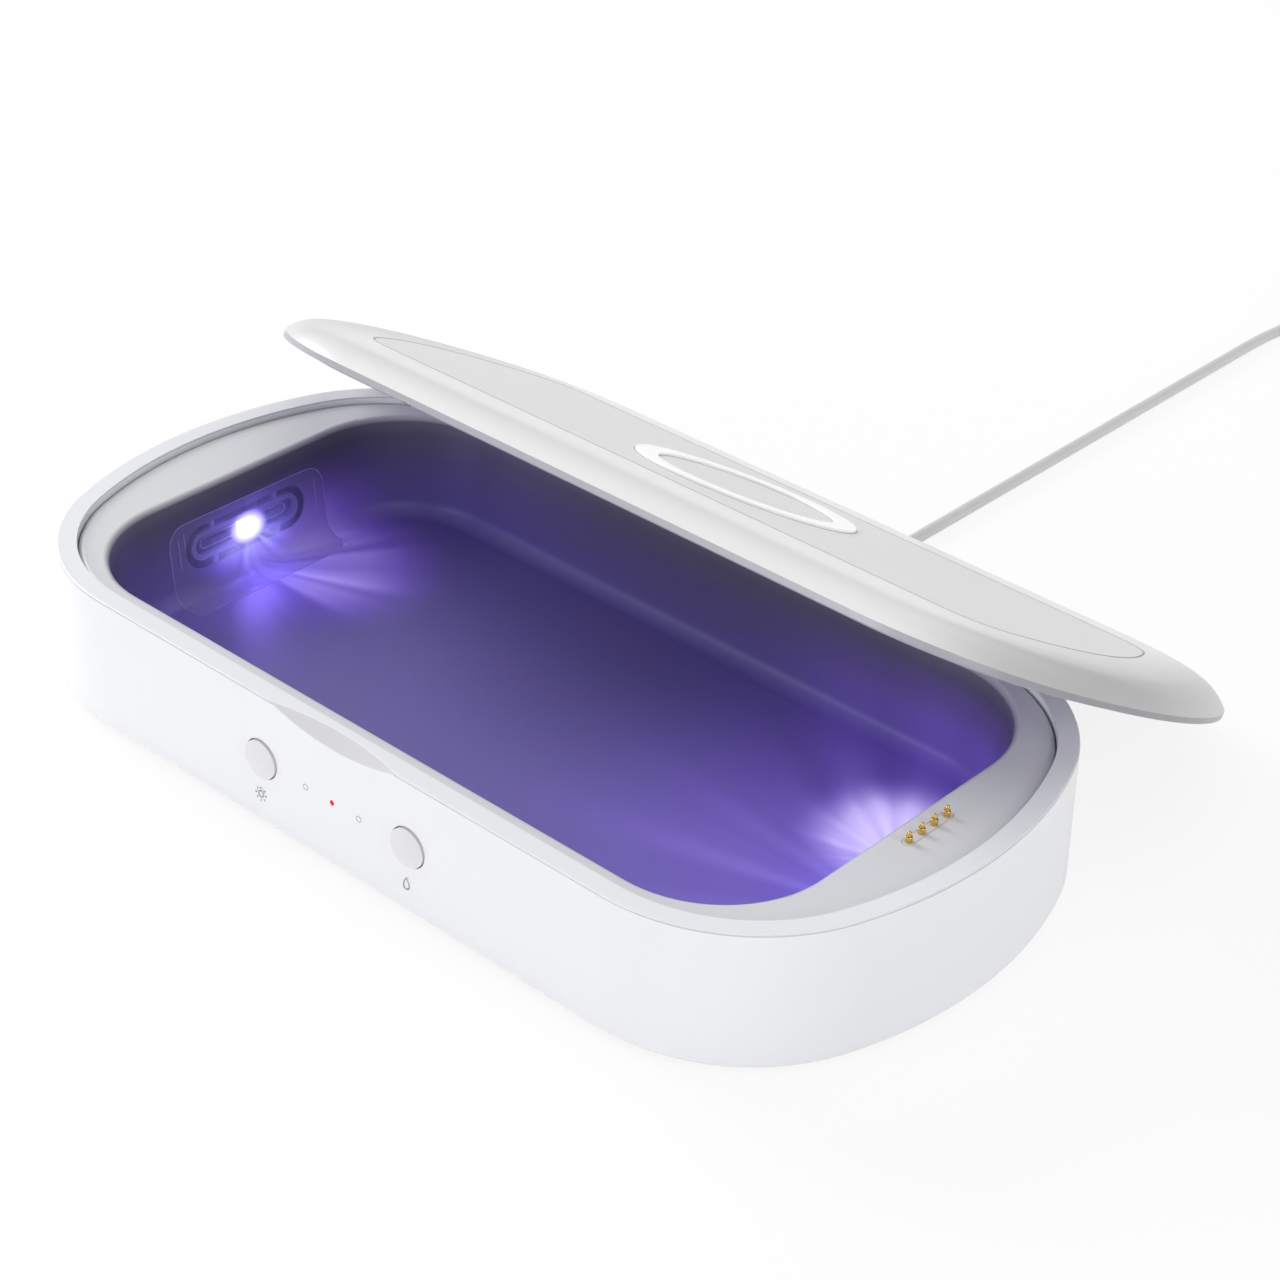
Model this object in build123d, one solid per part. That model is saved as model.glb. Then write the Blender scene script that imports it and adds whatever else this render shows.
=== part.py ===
import os
from math import atan2, cos, pi, radians, sin, sqrt, tan

from build123d import *

# A box that cleans a phone with ultraviolet light. Millimetres, +Z up. The origin is the middle of the
# anti-slip mat's lower face. +X runs along the box, -Y is the front with the buttons, +Y the cable's side.

# Base, seen from above: straight long sides, round corners and gently bowed ends
base_length = 236.0
base_width = 122.6
corner_radius = 41.6
end_radius = 97.1
wall_height = 31.0
wall_draft = 0.8            # the wall's foot stands this much further out than its rim
wall_thickness = 3.0
rim_width = 4.5
rim_rounding = 0.4
foot_rounding = 1.0
mat_thickness = 0.8
mat_end_margin = 43.0
mat_side_margin = 26.3
mat_corner = 20.0
seat_width = 1.2            # the step inside the rim that the tray's flange lies on
seat_height = 2.5

# Inner tray
ledge_drop = 1.5            # from the rim down to the ledge
flange_thickness = 1.8
tray_fit = 0.1
tray_wall = 1.5
tray_floor = 1.6
floor_height = 4.4          # of the cavity's floor above the foot of the wall
cavity_draft = 6.0          # degrees
cavity_corner = 25.8
cavity_end_margin = 20.95   # from the end of the base to the cavity's edge
cavity_side_margin = 8.75
cavity_edge_rounding = 1.4
cavity_floor_rounding = 4.0
panel_margin = 0.1          # from the end of that rounding to the edge of the floor panel
panel_lip = 0.8             # thickness of the panel's edge, which lies on a step in the tray
panel_seat = 1.6            # width of that step
panel_fit = 0.03

# Bottom cover and its screws
cover_thickness = 1.8
cover_fit = 0.1
cover_seat = 1.4            # how far the cover reaches under the wall
boss_radius = 3.0
boss_inset = 15.0           # from the end of the base
boss_y = 30.0
screw_radius = 1.25
screw_head_radius = 2.3
screw_head_height = 1.1
screw_length = 9.0
screw_fit = 0.05
recess_length = 2.6         # cross recess in a screw's head
recess_width = 0.6
recess_depth = 0.6

# Lamp units, one in each end wall of the cavity
window_width = 47.0
window_drop = 6.84          # down the wall from the ledge to the window's upper edge
window_foot = 8.4           # how far the window runs out over the floor
window_thickness = 0.8
window_corner = 5.0
window_fit = 0.05
window_room = 1.0           # how far the cut for a window reaches into the cavity
slot_length = 36.4
slot_width = 10.8
slot_drop = 15.04           # down the wall from the ledge to the slot's middle
gasket_margin = 2.6
gasket_thickness = 1.0
lamp_board_margin = 3.6
lamp_board_thickness = 1.0
lamp_size = 3.6
lamp_thickness = 0.9
lamp_lens_radius = 1.5
lamp_lens_height = 0.6
bezel_inset = 1.9           # from the slot's edge to the raised ring around the lamp
bezel_width = 1.3
bezel_height = 1.2
bezel_spoke = 1.3
bezel_spoke_place = 9.5     # from the middle of the slot, along it

# Buttons, lights and their board in the front wall
control_height = 15.3       # above the foot of the wall
button_spacing = 43.2
button_radius = 4.45
button_gap = 0.25
button_proud = 0.2
button_dome = 0.5
button_travel = 0.5
button_flange = 0.8
button_flange_margin = 1.0
button_rest_gap = 0.1
press_clearance = 0.1
stem_radius = 1.5
dish_radius = 8.0
dish_depth = 0.5
light_spacing = 7.85
light_radius = 0.6
light_fit = 0.03
light_flange_radius = 1.3
light_flange = 0.6
switch_size = 6.0
switch_thickness = 1.4
switch_tip_radius = 1.6
switch_tip = 0.3
board_margin = 13.4         # past the buttons' middles
board_height = 12.0
board_thickness = 0.8
board_gap = 0.3             # between the board and the tray's wall
board_pad_length = 5.0

# Finger scoop in the front wall's upper edge
scoop_half_width = 19.2
scoop_depth = 3.1
scoop_reach = 2.6

# Charging contacts: sprung pins in the ledge and flat studs in the lid
contact_inset = 16.2        # from the end of the base
contact_pitch = 4.0
contact_count = 4
contact_block_width = 2.2
contact_block_length = 14.8
contact_block_height = 6.0
contact_block_fit = 0.1
barrel_radius = 0.75
barrel_proud = 1.3
barrel_depth = 5.4
barrel_floor = 0.5
barrel_fit = 0.02
barrel_rounding = 0.18
plunger_radius = 0.47
plunger_fit = 0.05
plunger_proud = 1.1
plunger_travel = 0.85
plunger_rounding = 0.42
stud_radius = 1.5
stud_fit = 0.05
stud_recess = 1.2

# Magnets that hold the closed lid
magnet_inset = 15.0         # from the end of the base
magnet_y = 20.0
magnet_radius = 4.0
base_magnet_thickness = 2.5
lid_magnet_thickness = 1.4

# Power inlet, its board and the main board
port_height = 8.7           # above the foot of the wall
socket_width = 9.1
socket_height = 3.3
socket_depth = 6.8
socket_wall = 0.25
socket_set_back = 0.3
socket_fit = 0.1
tongue_width = 6.6
tongue_thickness = 0.7
tongue_set_back = 1.0
power_board_length = 36.0
power_board_depth = 4.6
main_board_length = 44.0
main_board_width = 10.0
main_board_rise = 1.6
main_board_gap = 0.5
chips = [(-12.0, 6.0), (0.0, 7.0), (12.0, 5.0)]  # place along Y and side
chip_height = 1.2
post_radius = 1.6

# Scent pad behind slits in the front wall of the cavity
scent_x = -55.0
scent_length = 24.0
scent_height = 11.0
scent_rise = 11.0
scent_pad_thickness = 2.0
scent_wall = 0.8
scent_fit = 0.15
slit_count = 5
slit_width = 1.6
slit_length = 8.0

# Lid
lid_flange = 1.4
lid_rise = 4.8              # from the flange's top up to the flat top
dome_power = 5.0            # fullness of the dome between flange and flat top
dome_steps = 6
dome_crowding = 1.5         # above 1, the dome's sections stand closer together by the flange
seam_end_margin = 20.4
seam_side_margin = 22.75
seam_corner = 12.0
seam_end = 75.7
seam_gap = 0.25
top_plate_thickness = 1.4
ring_outer = 26.5
ring_inner = 21.1
ring_height = 0.6
ring_groove = 0.3
ring_rounding = 0.25
locator_inset = 4.9
locator_height = 1.1
locator_fit = 0.1
locator_seat = 0.8          # how deep the lid's underside sits in the shell
locator_rounding = 0.4
notch_x = -54.0             # small notch in the front edge of the lid's underside
notch_width = 2.6
notch_depth = 1.6
hollow_inset = 7.0
hollow_height = 1.6
coil_hollow_height = 1.2
coil_hollow_inset = 3.0     # inside the seam
charge_coil_outer = 24.0
charge_coil_inner = 10.0
charge_coil_thickness = 1.2
ferrite_radius = 26.0
ferrite_thickness = 0.6
lid_board_length = 60.0
lid_board_width = 40.0
lid_board_thickness = 0.8
lid_board_arm = 16.0

# The lid lies on its back edge behind the base and leans on the rear rim
lean_angle = 28.4
lean_gap = 0.3
lean_foot = 4.1             # height of the lid's low edge above the surface

# Power cable
plug_tongue = 6.0
plug_shell_width = 8.3
plug_shell_height = 2.5
plug_shell_wall = 0.4
plug_gap = 0.5
plug_body_width = 11.6
plug_body_height = 6.6
plug_body_length = 15.0
plug_rounding = 2.8
plug_relief_length = 8.0
plug_relief_radius = 2.6
cord_radius = 1.5
cord_lift = 0.1
bend_share = 0.45           # how much of the shorter run each bend takes
lead_points = [
    (0.0, 94.5, 9.5),
    (1.6, 104.5, 4.6),
    (3.6, 114.5, 1.6),
    (3.6, 290.0, 1.6),
    (8.6, 313.5, 2.2),
]
turn_radii = [15.0, 18.0, 21.0]
turn_layers = 2
coil_rounding = 1.35
tie_thickness = 0.6
tie_width = 6.0
tie_rounding = 0.5
far_plug_width = 15.0
far_plug_height = 8.0
far_plug_length = 22.0
far_plug_rounding = 2.0
far_relief_length = 8.0
far_relief_radius = 2.4
far_shell_width = 12.0
far_shell_height = 4.5
far_shell_length = 12.0
far_shell_wall = 0.35
far_shell_rounding = 0.3
tail_run = 11.0
tail_sway = 0.7

# Slack that keeps a full half round or an edge search from being exact
slack = 0.01

# Worked out from the sizes above
foot_z = mat_thickness
rim_z = foot_z + wall_height
ledge_z = rim_z - ledge_drop
flange_z = ledge_z - flange_thickness
floor_z = foot_z + floor_height
cavity_depth = ledge_z - floor_z
wall_length = cavity_depth / cos(radians(cavity_draft))
window_height = wall_length - window_drop
slot_rise = wall_length - slot_drop
board_length = button_spacing + 2 * board_margin
cover_top = foot_z + cover_thickness
control_z = foot_z + control_height
port_z = foot_z + port_height
half_cavity_length = base_length / 2 - cavity_end_margin
half_cavity_width = base_width / 2 - cavity_side_margin
panel_inset = cavity_depth * tan(radians(cavity_draft)) + panel_margin
panel_inset += cavity_floor_rounding * tan(radians(45 - cavity_draft / 2))
wall_inner_y = base_width / 2 - wall_thickness
boss_x = base_length / 2 - boss_inset
contact_x = base_length / 2 - contact_inset
magnet_x = base_length / 2 - magnet_inset
base_outline = (base_length, base_width, corner_radius, end_radius)
seam_outline = (base_length - 2 * seam_end_margin, base_width - 2 * seam_side_margin, seam_corner, seam_end)
lid_top = lid_flange + lid_rise
hollow_top = locator_seat + hollow_height
coil_roof = hollow_top + coil_hollow_height

# The lid's frame: its flange's lower face is z = 0 and its middle x = y = 0
lean = radians(lean_angle)
lid_z = lean_foot + base_width / 2 * sin(lean)
lean_height = locator_height + lean_gap
lid_y = base_width / 2 + ((rim_z - lid_z) * cos(lean) + lean_height) / sin(lean)
lid_place = Pos(0, lid_y, lid_z) * Rot(-lean_angle, 0, 0)


def oval(sizes, inset=0.0, z=0.0):
    # Straight long sides, corner arcs and end arcs that meet without a kink
    length, width = sizes[0] - 2 * inset, sizes[1] - 2 * inset
    corner, end = sizes[2] - inset, sizes[3] - inset
    end_x = length / 2 - end
    corner_y = width / 2 - corner
    corner_x = end_x + sqrt((end - corner) ** 2 - corner_y ** 2)
    turn = atan2(corner_y, corner_x - end_x)
    middle = (turn + pi / 2) / 2
    side = (corner_x, width / 2)
    bend = (corner_x + corner * cos(middle), corner_y + corner * sin(middle))
    join = (end_x + end * cos(turn), end * sin(turn))
    edges = []
    for flip in (1, -1):
        def at(point, mirror=1):
            return (flip * point[0], flip * mirror * point[1])
        edges.append(Line(at(side, 1), at((-side[0], side[1]))))
        edges.append(ThreePointArc(at(side), at(bend), at(join)))
        edges.append(ThreePointArc(at(join), at((length / 2, 0)), at(join, -1)))
        edges.append(ThreePointArc(at(join, -1), at(bend, -1), at(side, -1)))
    return Pos(0, 0, z) * make_face(Curve() + edges)


def plate(sizes, inset, low, high):
    return extrude(oval(sizes, inset, low), high - low)


def block(x, y, z):
    # A box from one (low, high) pair per axis
    size = (x[1] - x[0], y[1] - y[0], z[1] - z[0])
    return Pos(sum(x) / 2, sum(y) / 2, sum(z) / 2) * Box(*size)


def post(x, y, radius, low, high):
    return Pos(x, y, (low + high) / 2) * Cylinder(radius, high - low)


def rod_y(x, z, radius, start, end):
    # A cylinder along Y
    return Pos(x, (start + end) / 2, z) * Rot(90, 0, 0) * Cylinder(radius, abs(end - start))


def corners(x, y):
    return [(sx * x, sy * y) for sx in (-1, 1) for sy in (-1, 1)]


def front_face(z):
    # Y of the front wall's outer face at a height
    return -(base_width / 2 + wall_draft * (rim_z - z) / wall_height)


def tray_side(z):
    # Half width of the tray's outer side wall at a height
    return half_cavity_width + tray_wall - (ledge_z - z) * tan(radians(cavity_draft))


def wall_plane(side, along_x):
    # Local frame on a wall of the cavity at floor level: x up the wall, z straight out of it
    slope = radians(cavity_draft)
    reach = (half_cavity_length if along_x else half_cavity_width) - cavity_depth * tan(slope)
    ahead = Vector(side, 0, 0) if along_x else Vector(0, side, 0)
    up = ahead * sin(slope) + Vector(0, 0, cos(slope))
    out = ahead * -cos(slope) + Vector(0, 0, sin(slope))
    return Plane(ahead * reach + Vector(0, 0, floor_z), x_dir=up, z_dir=out)


def stadium(length, width, low, high):
    # Long along local y
    return extrude(Pos(0, 0, low) * Rot(0, 0, 90) * SlotOverall(length, width), high - low)


def base_housing():
    slope = 90 - atan2(wall_height, wall_draft) * 180 / pi
    body = extrude(oval(base_outline, -wall_draft, foot_z), wall_height, taper=slope)
    body = fillet(body.faces().sort_by(Axis.Z)[0].edges(), foot_rounding)
    body = fillet(body.faces().sort_by(Axis.Z)[-1].edges(), rim_rounding)
    body -= plate(base_outline, rim_width, flange_z, rim_z)
    body -= plate(base_outline, rim_width + seat_width, flange_z - seat_height, flange_z)
    body -= plate(base_outline, wall_thickness, foot_z, flange_z - seat_height)
    body -= plate(base_outline, wall_thickness - cover_seat, foot_z, cover_top)
    for x in (-button_spacing / 2, button_spacing / 2):
        body -= button_opening(x)
    for step in (-1, 0, 1):
        body -= rod_y(step * light_spacing, control_z, light_radius + light_fit, -base_width, -wall_inner_y)
    body -= finger_scoop()
    body -= port_opening()
    return body


def button_opening(x):
    face = front_face(control_z)
    bore = rod_y(x, control_z, button_radius + button_gap, -base_width, -wall_inner_y)
    dish = (dish_radius ** 2 + dish_depth ** 2) / (2 * dish_depth)
    return bore + Pos(x, face + dish_depth - dish, control_z) * Sphere(dish)


def finger_scoop():
    # A large ball that takes away the wall's upper edge, as deep down the wall as the two sizes say
    down = (scoop_half_width ** 2 + scoop_depth ** 2) / (2 * scoop_depth)
    back = (scoop_half_width ** 2 + scoop_reach ** 2) / (2 * scoop_reach)
    front = base_width / 2
    ball_z = rim_z - scoop_depth + down
    ball_y = -front + scoop_reach - back
    ball = sqrt(down ** 2 + (ball_y + front) ** 2)
    return Pos(0, ball_y, ball_z) * Sphere(ball)


def port_opening():
    wide = (socket_width + 2 * socket_fit, socket_height + 2 * socket_fit)
    tunnel = RectangleRounded(*wide, wide[1] / 2 - socket_wall)
    return extrude(Pos(0, wall_inner_y, port_z) * Rot(-90, 0, 0) * tunnel, base_width)


def well(grow, top, bottom):
    # The cavity's tapering form, or the tray's outer form around it, between two heights
    slope = tan(radians(cavity_draft))
    drop = (ledge_z - top) * slope
    size_x = 2 * (half_cavity_length + grow - drop)
    size_y = 2 * (half_cavity_width + grow - drop)
    mouth = Pos(0, 0, top) * Rot(180, 0, 0) * RectangleRounded(size_x, size_y, cavity_corner + grow - drop)
    return extrude(mouth, top - bottom, taper=cavity_draft)


def cavity():
    body = well(0, ledge_z, floor_z)
    return fillet(body.faces().sort_by(Axis.Z)[0].edges(), cavity_floor_rounding)


def inner_tray():
    body = plate(base_outline, rim_width + tray_fit, flange_z, ledge_z)
    body += well(tray_wall, flange_z, floor_z - tray_floor)
    for x, y in corners(boss_x, boss_y):
        body += post(x, y, boss_radius, cover_top, flange_z)
    for x, y in corners(boss_x, boss_y):
        body -= post(x, y, screw_radius + screw_fit, cover_top, cover_top + screw_length)
    body += board_pads()
    body -= cavity()
    body = fillet(cavity_rim(body), cavity_edge_rounding)
    for side in (-1, 1):
        body -= window(side, window_fit, window_room)
        body -= wall_plane(side, True) * Pos(slot_rise, 0, 0) * stadium(slot_length, slot_width, -2 * tray_wall, 0)
    body -= contact_block_shape(contact_block_fit)
    body -= floor_panel_shape(panel_fit)
    return body - scent_slits()


def floor_layer(grow, top, bottom):
    size = (2 * (half_cavity_length - panel_inset + grow), 2 * (half_cavity_width - panel_inset + grow))
    outline = RectangleRounded(*size, cavity_corner - panel_inset + grow)
    return extrude(Pos(0, 0, bottom) * outline, top - bottom)


def floor_panel_shape(grow=0.0):
    # A thin edge that lies on the tray's step, and below it the part that fills the tray's opening
    body = floor_layer(grow, floor_z, floor_z - panel_lip)
    return body + floor_layer(grow - panel_seat, floor_z - panel_lip, floor_z - tray_floor)


def tray_floor_panel():
    body = floor_panel_shape()
    for side in (-1, 1):
        body -= window(side, window_fit, window_room)
    return body


def cavity_rim(body):
    # The loop of edges where the cavity meets the ledge
    reach = (half_cavity_length + slack, half_cavity_width + slack)
    level = body.edges().filter_by_position(Axis.Z, ledge_z - slack, ledge_z + slack)
    return level.filter_by(lambda edge: abs(edge.center().X) < reach[0] and abs(edge.center().Y) < reach[1])


def board_back():
    # Distance of the button board's rear face from the middle plane
    return tray_side(control_z + board_height / 2) + board_gap


def board_pads():
    # Two pads on the tray's front wall carry the button board
    pads = Part()
    for side in (-1, 1):
        middle = side * (board_length - board_pad_length) / 2
        span_x = (middle - board_pad_length / 2, middle + board_pad_length / 2)
        span_z = (control_z - board_height / 2, control_z + board_height / 2)
        pads += block(span_x, (-board_back(), -tray_side(floor_z)), span_z)
    return pads


def window_line(out, grow):
    # Upper edge, corner and far edge of the window's section, this far out of the cavity's surface
    slope = radians(cavity_draft)
    wall_foot = half_cavity_length - cavity_depth * tan(slope)
    height = window_height + grow
    top = (wall_foot + height * sin(slope) + out * cos(slope), floor_z + height * cos(slope) - out * sin(slope))
    corner = (wall_foot + out * (1 - sin(slope)) / cos(slope), floor_z - out)
    return [top, corner, (wall_foot - window_foot - grow, floor_z - out)]


def window(side, grow=0.0, room=0.0):
    # An L of clear sheet, up the end wall and out over the floor. With room it also takes the air in front
    back = window_thickness + grow
    front_line = window_line(-room, grow)
    back_line = window_line(back, grow)
    edges = [
        FilletPolyline(*front_line, radius=cavity_floor_rounding - room),
        Line(front_line[-1], back_line[-1]),
        FilletPolyline(*back_line, radius=cavity_floor_rounding + back),
        Line(back_line[0], front_line[0]),
    ]
    sheet = extrude(Plane.XZ * make_face(Curve() + edges), window_width / 2 + grow, both=True)
    upper = Axis((0, 0, 0), (cos(radians(cavity_draft)), 0, -sin(radians(cavity_draft))))
    ends = sheet.edges().filter_by(Axis.Z) + sheet.edges().filter_by(upper)
    sheet = fillet(ends, window_corner + grow)
    return sheet if side > 0 else mirror(sheet, Plane.YZ)


def cap(radius, height):
    # A slice of a ball that stands on z = 0
    ball = (radius ** 2 + height ** 2) / (2 * height)
    return (Pos(0, 0, height - ball) * Sphere(ball)) & (Pos(0, 0, height / 2) * Cylinder(2 * radius, height))


def behind_slot(side, depth):
    # Local frame of a lamp unit's layer, this far out of the cavity's wall
    return wall_plane(side, True) * Pos(slot_rise, 0, -tray_wall - depth)


def lamp_gasket(side):
    ring = stadium(slot_length + 2 * gasket_margin, slot_width + 2 * gasket_margin, -gasket_thickness, 0)
    ring -= stadium(slot_length, slot_width, -gasket_thickness, 0)
    return behind_slot(side, 0) * ring


def lamp_board(side):
    margin = 2 * lamp_board_margin
    board = stadium(slot_length + margin, slot_width + margin, -lamp_board_thickness, 0)
    return behind_slot(side, gasket_thickness) * board


def lamp(side):
    body = Pos(0, 0, lamp_thickness / 2) * Box(lamp_size, lamp_size, lamp_thickness)
    body += Pos(0, 0, lamp_thickness) * cap(lamp_lens_radius, lamp_lens_height)
    return behind_slot(side, gasket_thickness) * body


def lamp_bezel(side):
    # A raised ring on the lamp board with four spokes out to the slot's edge
    outer = (slot_length - 2 * bezel_inset, slot_width - 2 * bezel_inset)
    inner = (outer[0] - 2 * bezel_width, outer[1] - 2 * bezel_width)
    spokes = Part()
    reach = bezel_inset + slack
    for x, y in corners((slot_width - reach) / 2, bezel_spoke_place):
        spokes += Pos(x, y, bezel_height / 2) * Box(reach, bezel_spoke, bezel_height)
    ring = stadium(*outer, 0, bezel_height) - stadium(*inner, 0, bezel_height)
    return behind_slot(side, gasket_thickness) * (ring + spokes)


def bottom_cover():
    body = plate(base_outline, wall_thickness - cover_seat + cover_fit, foot_z, cover_top)
    for x, y in corners(boss_x, boss_y):
        body -= post(x, y, screw_radius + screw_fit, foot_z, cover_top)
        body -= post(x, y, screw_head_radius + screw_fit, foot_z, foot_z + screw_head_height)
    for x, y in main_posts():
        body += post(x, y, post_radius, cover_top, cover_top + main_board_rise)
    for x, y in power_posts():
        body += post(x, y, post_radius, cover_top, power_board_low())
    return body


def cover_screws():
    screws = Part()
    for x, y in corners(boss_x, boss_y):
        screws += post(x, y, screw_radius, foot_z, foot_z + screw_length)
        screws += post(x, y, screw_head_radius, foot_z, foot_z + screw_head_height)
        for size in ((recess_length, recess_width), (recess_width, recess_length)):
            screws -= Pos(x, y, foot_z + recess_depth / 2) * Box(*size, recess_depth)
    return screws


def anti_slip_mat():
    size = (base_length - 2 * mat_end_margin, base_width - 2 * mat_side_margin)
    return extrude(RectangleRounded(*size, mat_corner), mat_thickness)


def button(x):
    # A domed cap in its bore, a flange that the wall holds back and a stem over the switch
    edge = front_face(control_z) - button_proud
    flange_front = -wall_inner_y + button_rest_gap
    flange_back = flange_front + button_flange
    body = rod_y(x, control_z, button_radius, edge, flange_back)
    body += Pos(x, edge, control_z) * Rot(90, 0, 0) * cap(button_radius, button_dome)
    body += rod_y(x, control_z, button_radius + button_flange_margin, flange_front, flange_back)
    stem_end = switch_front() - button_travel - press_clearance
    return body + rod_y(x, control_z, stem_radius, flange_back, stem_end)


def switch_front():
    # Y of the switches' tips
    return -(board_back() + board_thickness + switch_thickness + switch_tip)


def tact_switch(x):
    half = switch_size / 2
    board = -(board_back() + board_thickness)
    body = block((x - half, x + half), (board - switch_thickness, board), (control_z - half, control_z + half))
    return body + rod_y(x, control_z, switch_tip_radius, switch_front(), board - switch_thickness)


def button_board():
    span_z = (control_z - board_height / 2, control_z + board_height / 2)
    span_y = (-board_back() - board_thickness, -board_back())
    return block((-board_length / 2, board_length / 2), span_y, span_z)


def light_pipe(x):
    body = rod_y(x, control_z, light_radius, front_face(control_z), -board_back() - board_thickness)
    return body + rod_y(x, control_z, light_flange_radius, -wall_inner_y, -wall_inner_y + light_flange)


def contact_places():
    first = -(contact_count - 1) / 2
    return [(contact_x, (first + i) * contact_pitch) for i in range(contact_count)]


def contact_block_shape(grow=0.0):
    size = (contact_block_width + 2 * grow, contact_block_length + 2 * grow)
    outline = RectangleRounded(*size, contact_block_width / 2 - slack)
    low = ledge_z - contact_block_height
    return extrude(Pos(contact_x, 0, low) * outline, contact_block_height)


def contact_block():
    body = contact_block_shape()
    for x, y in contact_places():
        body -= post(x, y, barrel_radius + barrel_fit, ledge_z - contact_block_height, ledge_z)
    return body


def contact_barrel(x, y):
    top = ledge_z + barrel_proud
    bottom = top - barrel_depth
    body = post(x, y, barrel_radius, bottom, top)
    body = fillet(body.faces().sort_by(Axis.Z)[-1].edges(), barrel_rounding)
    return body - post(x, y, plunger_radius + plunger_fit, bottom + barrel_floor, top)


def contact_plunger(x, y):
    top = ledge_z + barrel_proud + plunger_proud
    bottom = ledge_z + barrel_proud - barrel_depth + barrel_floor + plunger_travel + press_clearance
    pin = post(x, y, plunger_radius, bottom, top)
    return fillet(pin.faces().sort_by(Axis.Z)[-1].edges(), plunger_rounding)


def magnets(low, thickness):
    group = Part()
    for x, y in corners(magnet_x, magnet_y):
        group += post(x, y, magnet_radius, low, low + thickness)
    return group


def main_posts():
    return [(main_board_x(), side * (main_board_length / 2 - 2 * post_radius)) for side in (-1, 1)]


def main_board_x():
    # Clear of the lamp unit at the right end
    lamp_pack = tray_wall + gasket_thickness + lamp_board_thickness
    return half_cavity_length + lamp_pack + main_board_gap + main_board_width / 2


def main_board():
    low = cover_top + main_board_rise
    x = main_board_x()
    board = block(
        (x - main_board_width / 2, x + main_board_width / 2),
        (-main_board_length / 2, main_board_length / 2),
        (low, low + board_thickness),
    )
    top = low + board_thickness
    for y, size in chips:
        board += block((x - size / 2, x + size / 2), (y - size / 2, y + size / 2), (top, top + chip_height))
    return board


def power_board_low():
    return port_z - socket_height / 2 - board_thickness


def power_posts():
    y = wall_inner_y - power_board_depth / 2
    return [(side * (power_board_length / 2 - 2 * post_radius), y) for side in (-1, 1)]


def power_board():
    low = power_board_low()
    span_y = (wall_inner_y - power_board_depth, wall_inner_y)
    return block((-power_board_length / 2, power_board_length / 2), span_y, (low, low + board_thickness))


def rounded_bar(x, z, width, height, start, end, rounding=None):
    # A bar along Y with a rounded rectangular section
    radius = min(width, height) / 2 - slack if rounding is None else rounding
    section = Pos(x, start, z) * Rot(-90, 0, 0) * RectangleRounded(width, height, radius)
    return extrude(section, end - start)


def power_socket():
    mouth = base_width / 2 - socket_set_back
    back = mouth - socket_depth
    body = rounded_bar(0, port_z, socket_width, socket_height, back, mouth)
    inner = (socket_width - 2 * socket_wall, socket_height - 2 * socket_wall)
    body -= rounded_bar(0, port_z, *inner, back + socket_wall, mouth)
    return body + rounded_bar(0, port_z, tongue_width, tongue_thickness, back + socket_wall, mouth - tongue_set_back)


def scent_slits():
    pitch = scent_length / slit_count
    slits = Part()
    for i in range(slit_count):
        place = Pos(scent_rise, scent_x + (i - (slit_count - 1) / 2) * pitch, 0)
        slits += place * Box(slit_length, slit_width, 4 * tray_wall)
    return wall_plane(-1, False) * slits


def scent_holder():
    depth = scent_pad_thickness + 2 * scent_fit
    inner = (scent_height + 2 * scent_fit, scent_length + 2 * scent_fit)
    outer = (inner[0] + 2 * scent_wall, inner[1] + 2 * scent_wall)
    box = Pos(0, 0, -(depth + scent_wall) / 2) * Box(*outer, depth + scent_wall)
    box -= Pos(0, 0, -depth / 2) * Box(*inner, depth)
    return wall_plane(-1, False) * Pos(scent_rise, scent_x, -tray_wall) * box


def scent_pad():
    middle = -tray_wall - scent_fit - scent_pad_thickness / 2
    return wall_plane(-1, False) * Pos(scent_rise, scent_x, middle) * Box(scent_height, scent_length, scent_pad_thickness)


def lid_dome():
    # Ovals from the flange to the seam, each higher and smaller, in one smooth skin
    sections = []
    for step in range(dome_steps + 1):
        share = 1 - (step / dome_steps) ** dome_crowding
        sizes = [inner + (outer - inner) * share for outer, inner in zip(base_outline, seam_outline)]
        sections.append(oval(sizes, 0, lid_flange + lid_rise * (1 - share ** dome_power)))
    return loft(sections)


def lid_shell():
    body = plate(base_outline, 0, 0, lid_flange) + lid_dome()
    body -= plate(seam_outline, 0, lid_top - top_plate_thickness, lid_top + 1)
    body -= plate(base_outline, locator_inset - locator_fit, 0, locator_seat)
    body -= plate(base_outline, hollow_inset, locator_seat, hollow_top)
    return body - plate(seam_outline, coil_hollow_inset, hollow_top, coil_roof)


def lid_top_plate():
    body = plate(seam_outline, seam_gap, lid_top - top_plate_thickness, lid_top)
    return body - (post(0, 0, ring_outer, lid_top - ring_groove, lid_top) - post(0, 0, ring_inner, 0, lid_top))


def grip_ring():
    low = lid_top - ring_groove
    top = lid_top + ring_height
    body = post(0, 0, ring_outer, low, top) - post(0, 0, ring_inner, low, top)
    return fillet(body.faces().sort_by(Axis.Z)[-1].edges(), ring_rounding)


def lid_underside():
    body = plate(base_outline, locator_inset, -locator_height, locator_seat)
    body = fillet(body.faces().sort_by(Axis.Z)[0].edges(), locator_rounding)
    for x, y in contact_places():
        body -= post(x, y, stud_radius + stud_fit, -locator_height, locator_seat)
    front = locator_inset - base_width / 2
    notch = (notch_x - notch_width / 2, notch_x + notch_width / 2)
    return body - block(notch, (front, front + notch_depth), (-locator_height, 0))


def contact_stud(x, y):
    return post(x, y, stud_radius, stud_recess - locator_height, locator_seat)


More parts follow.
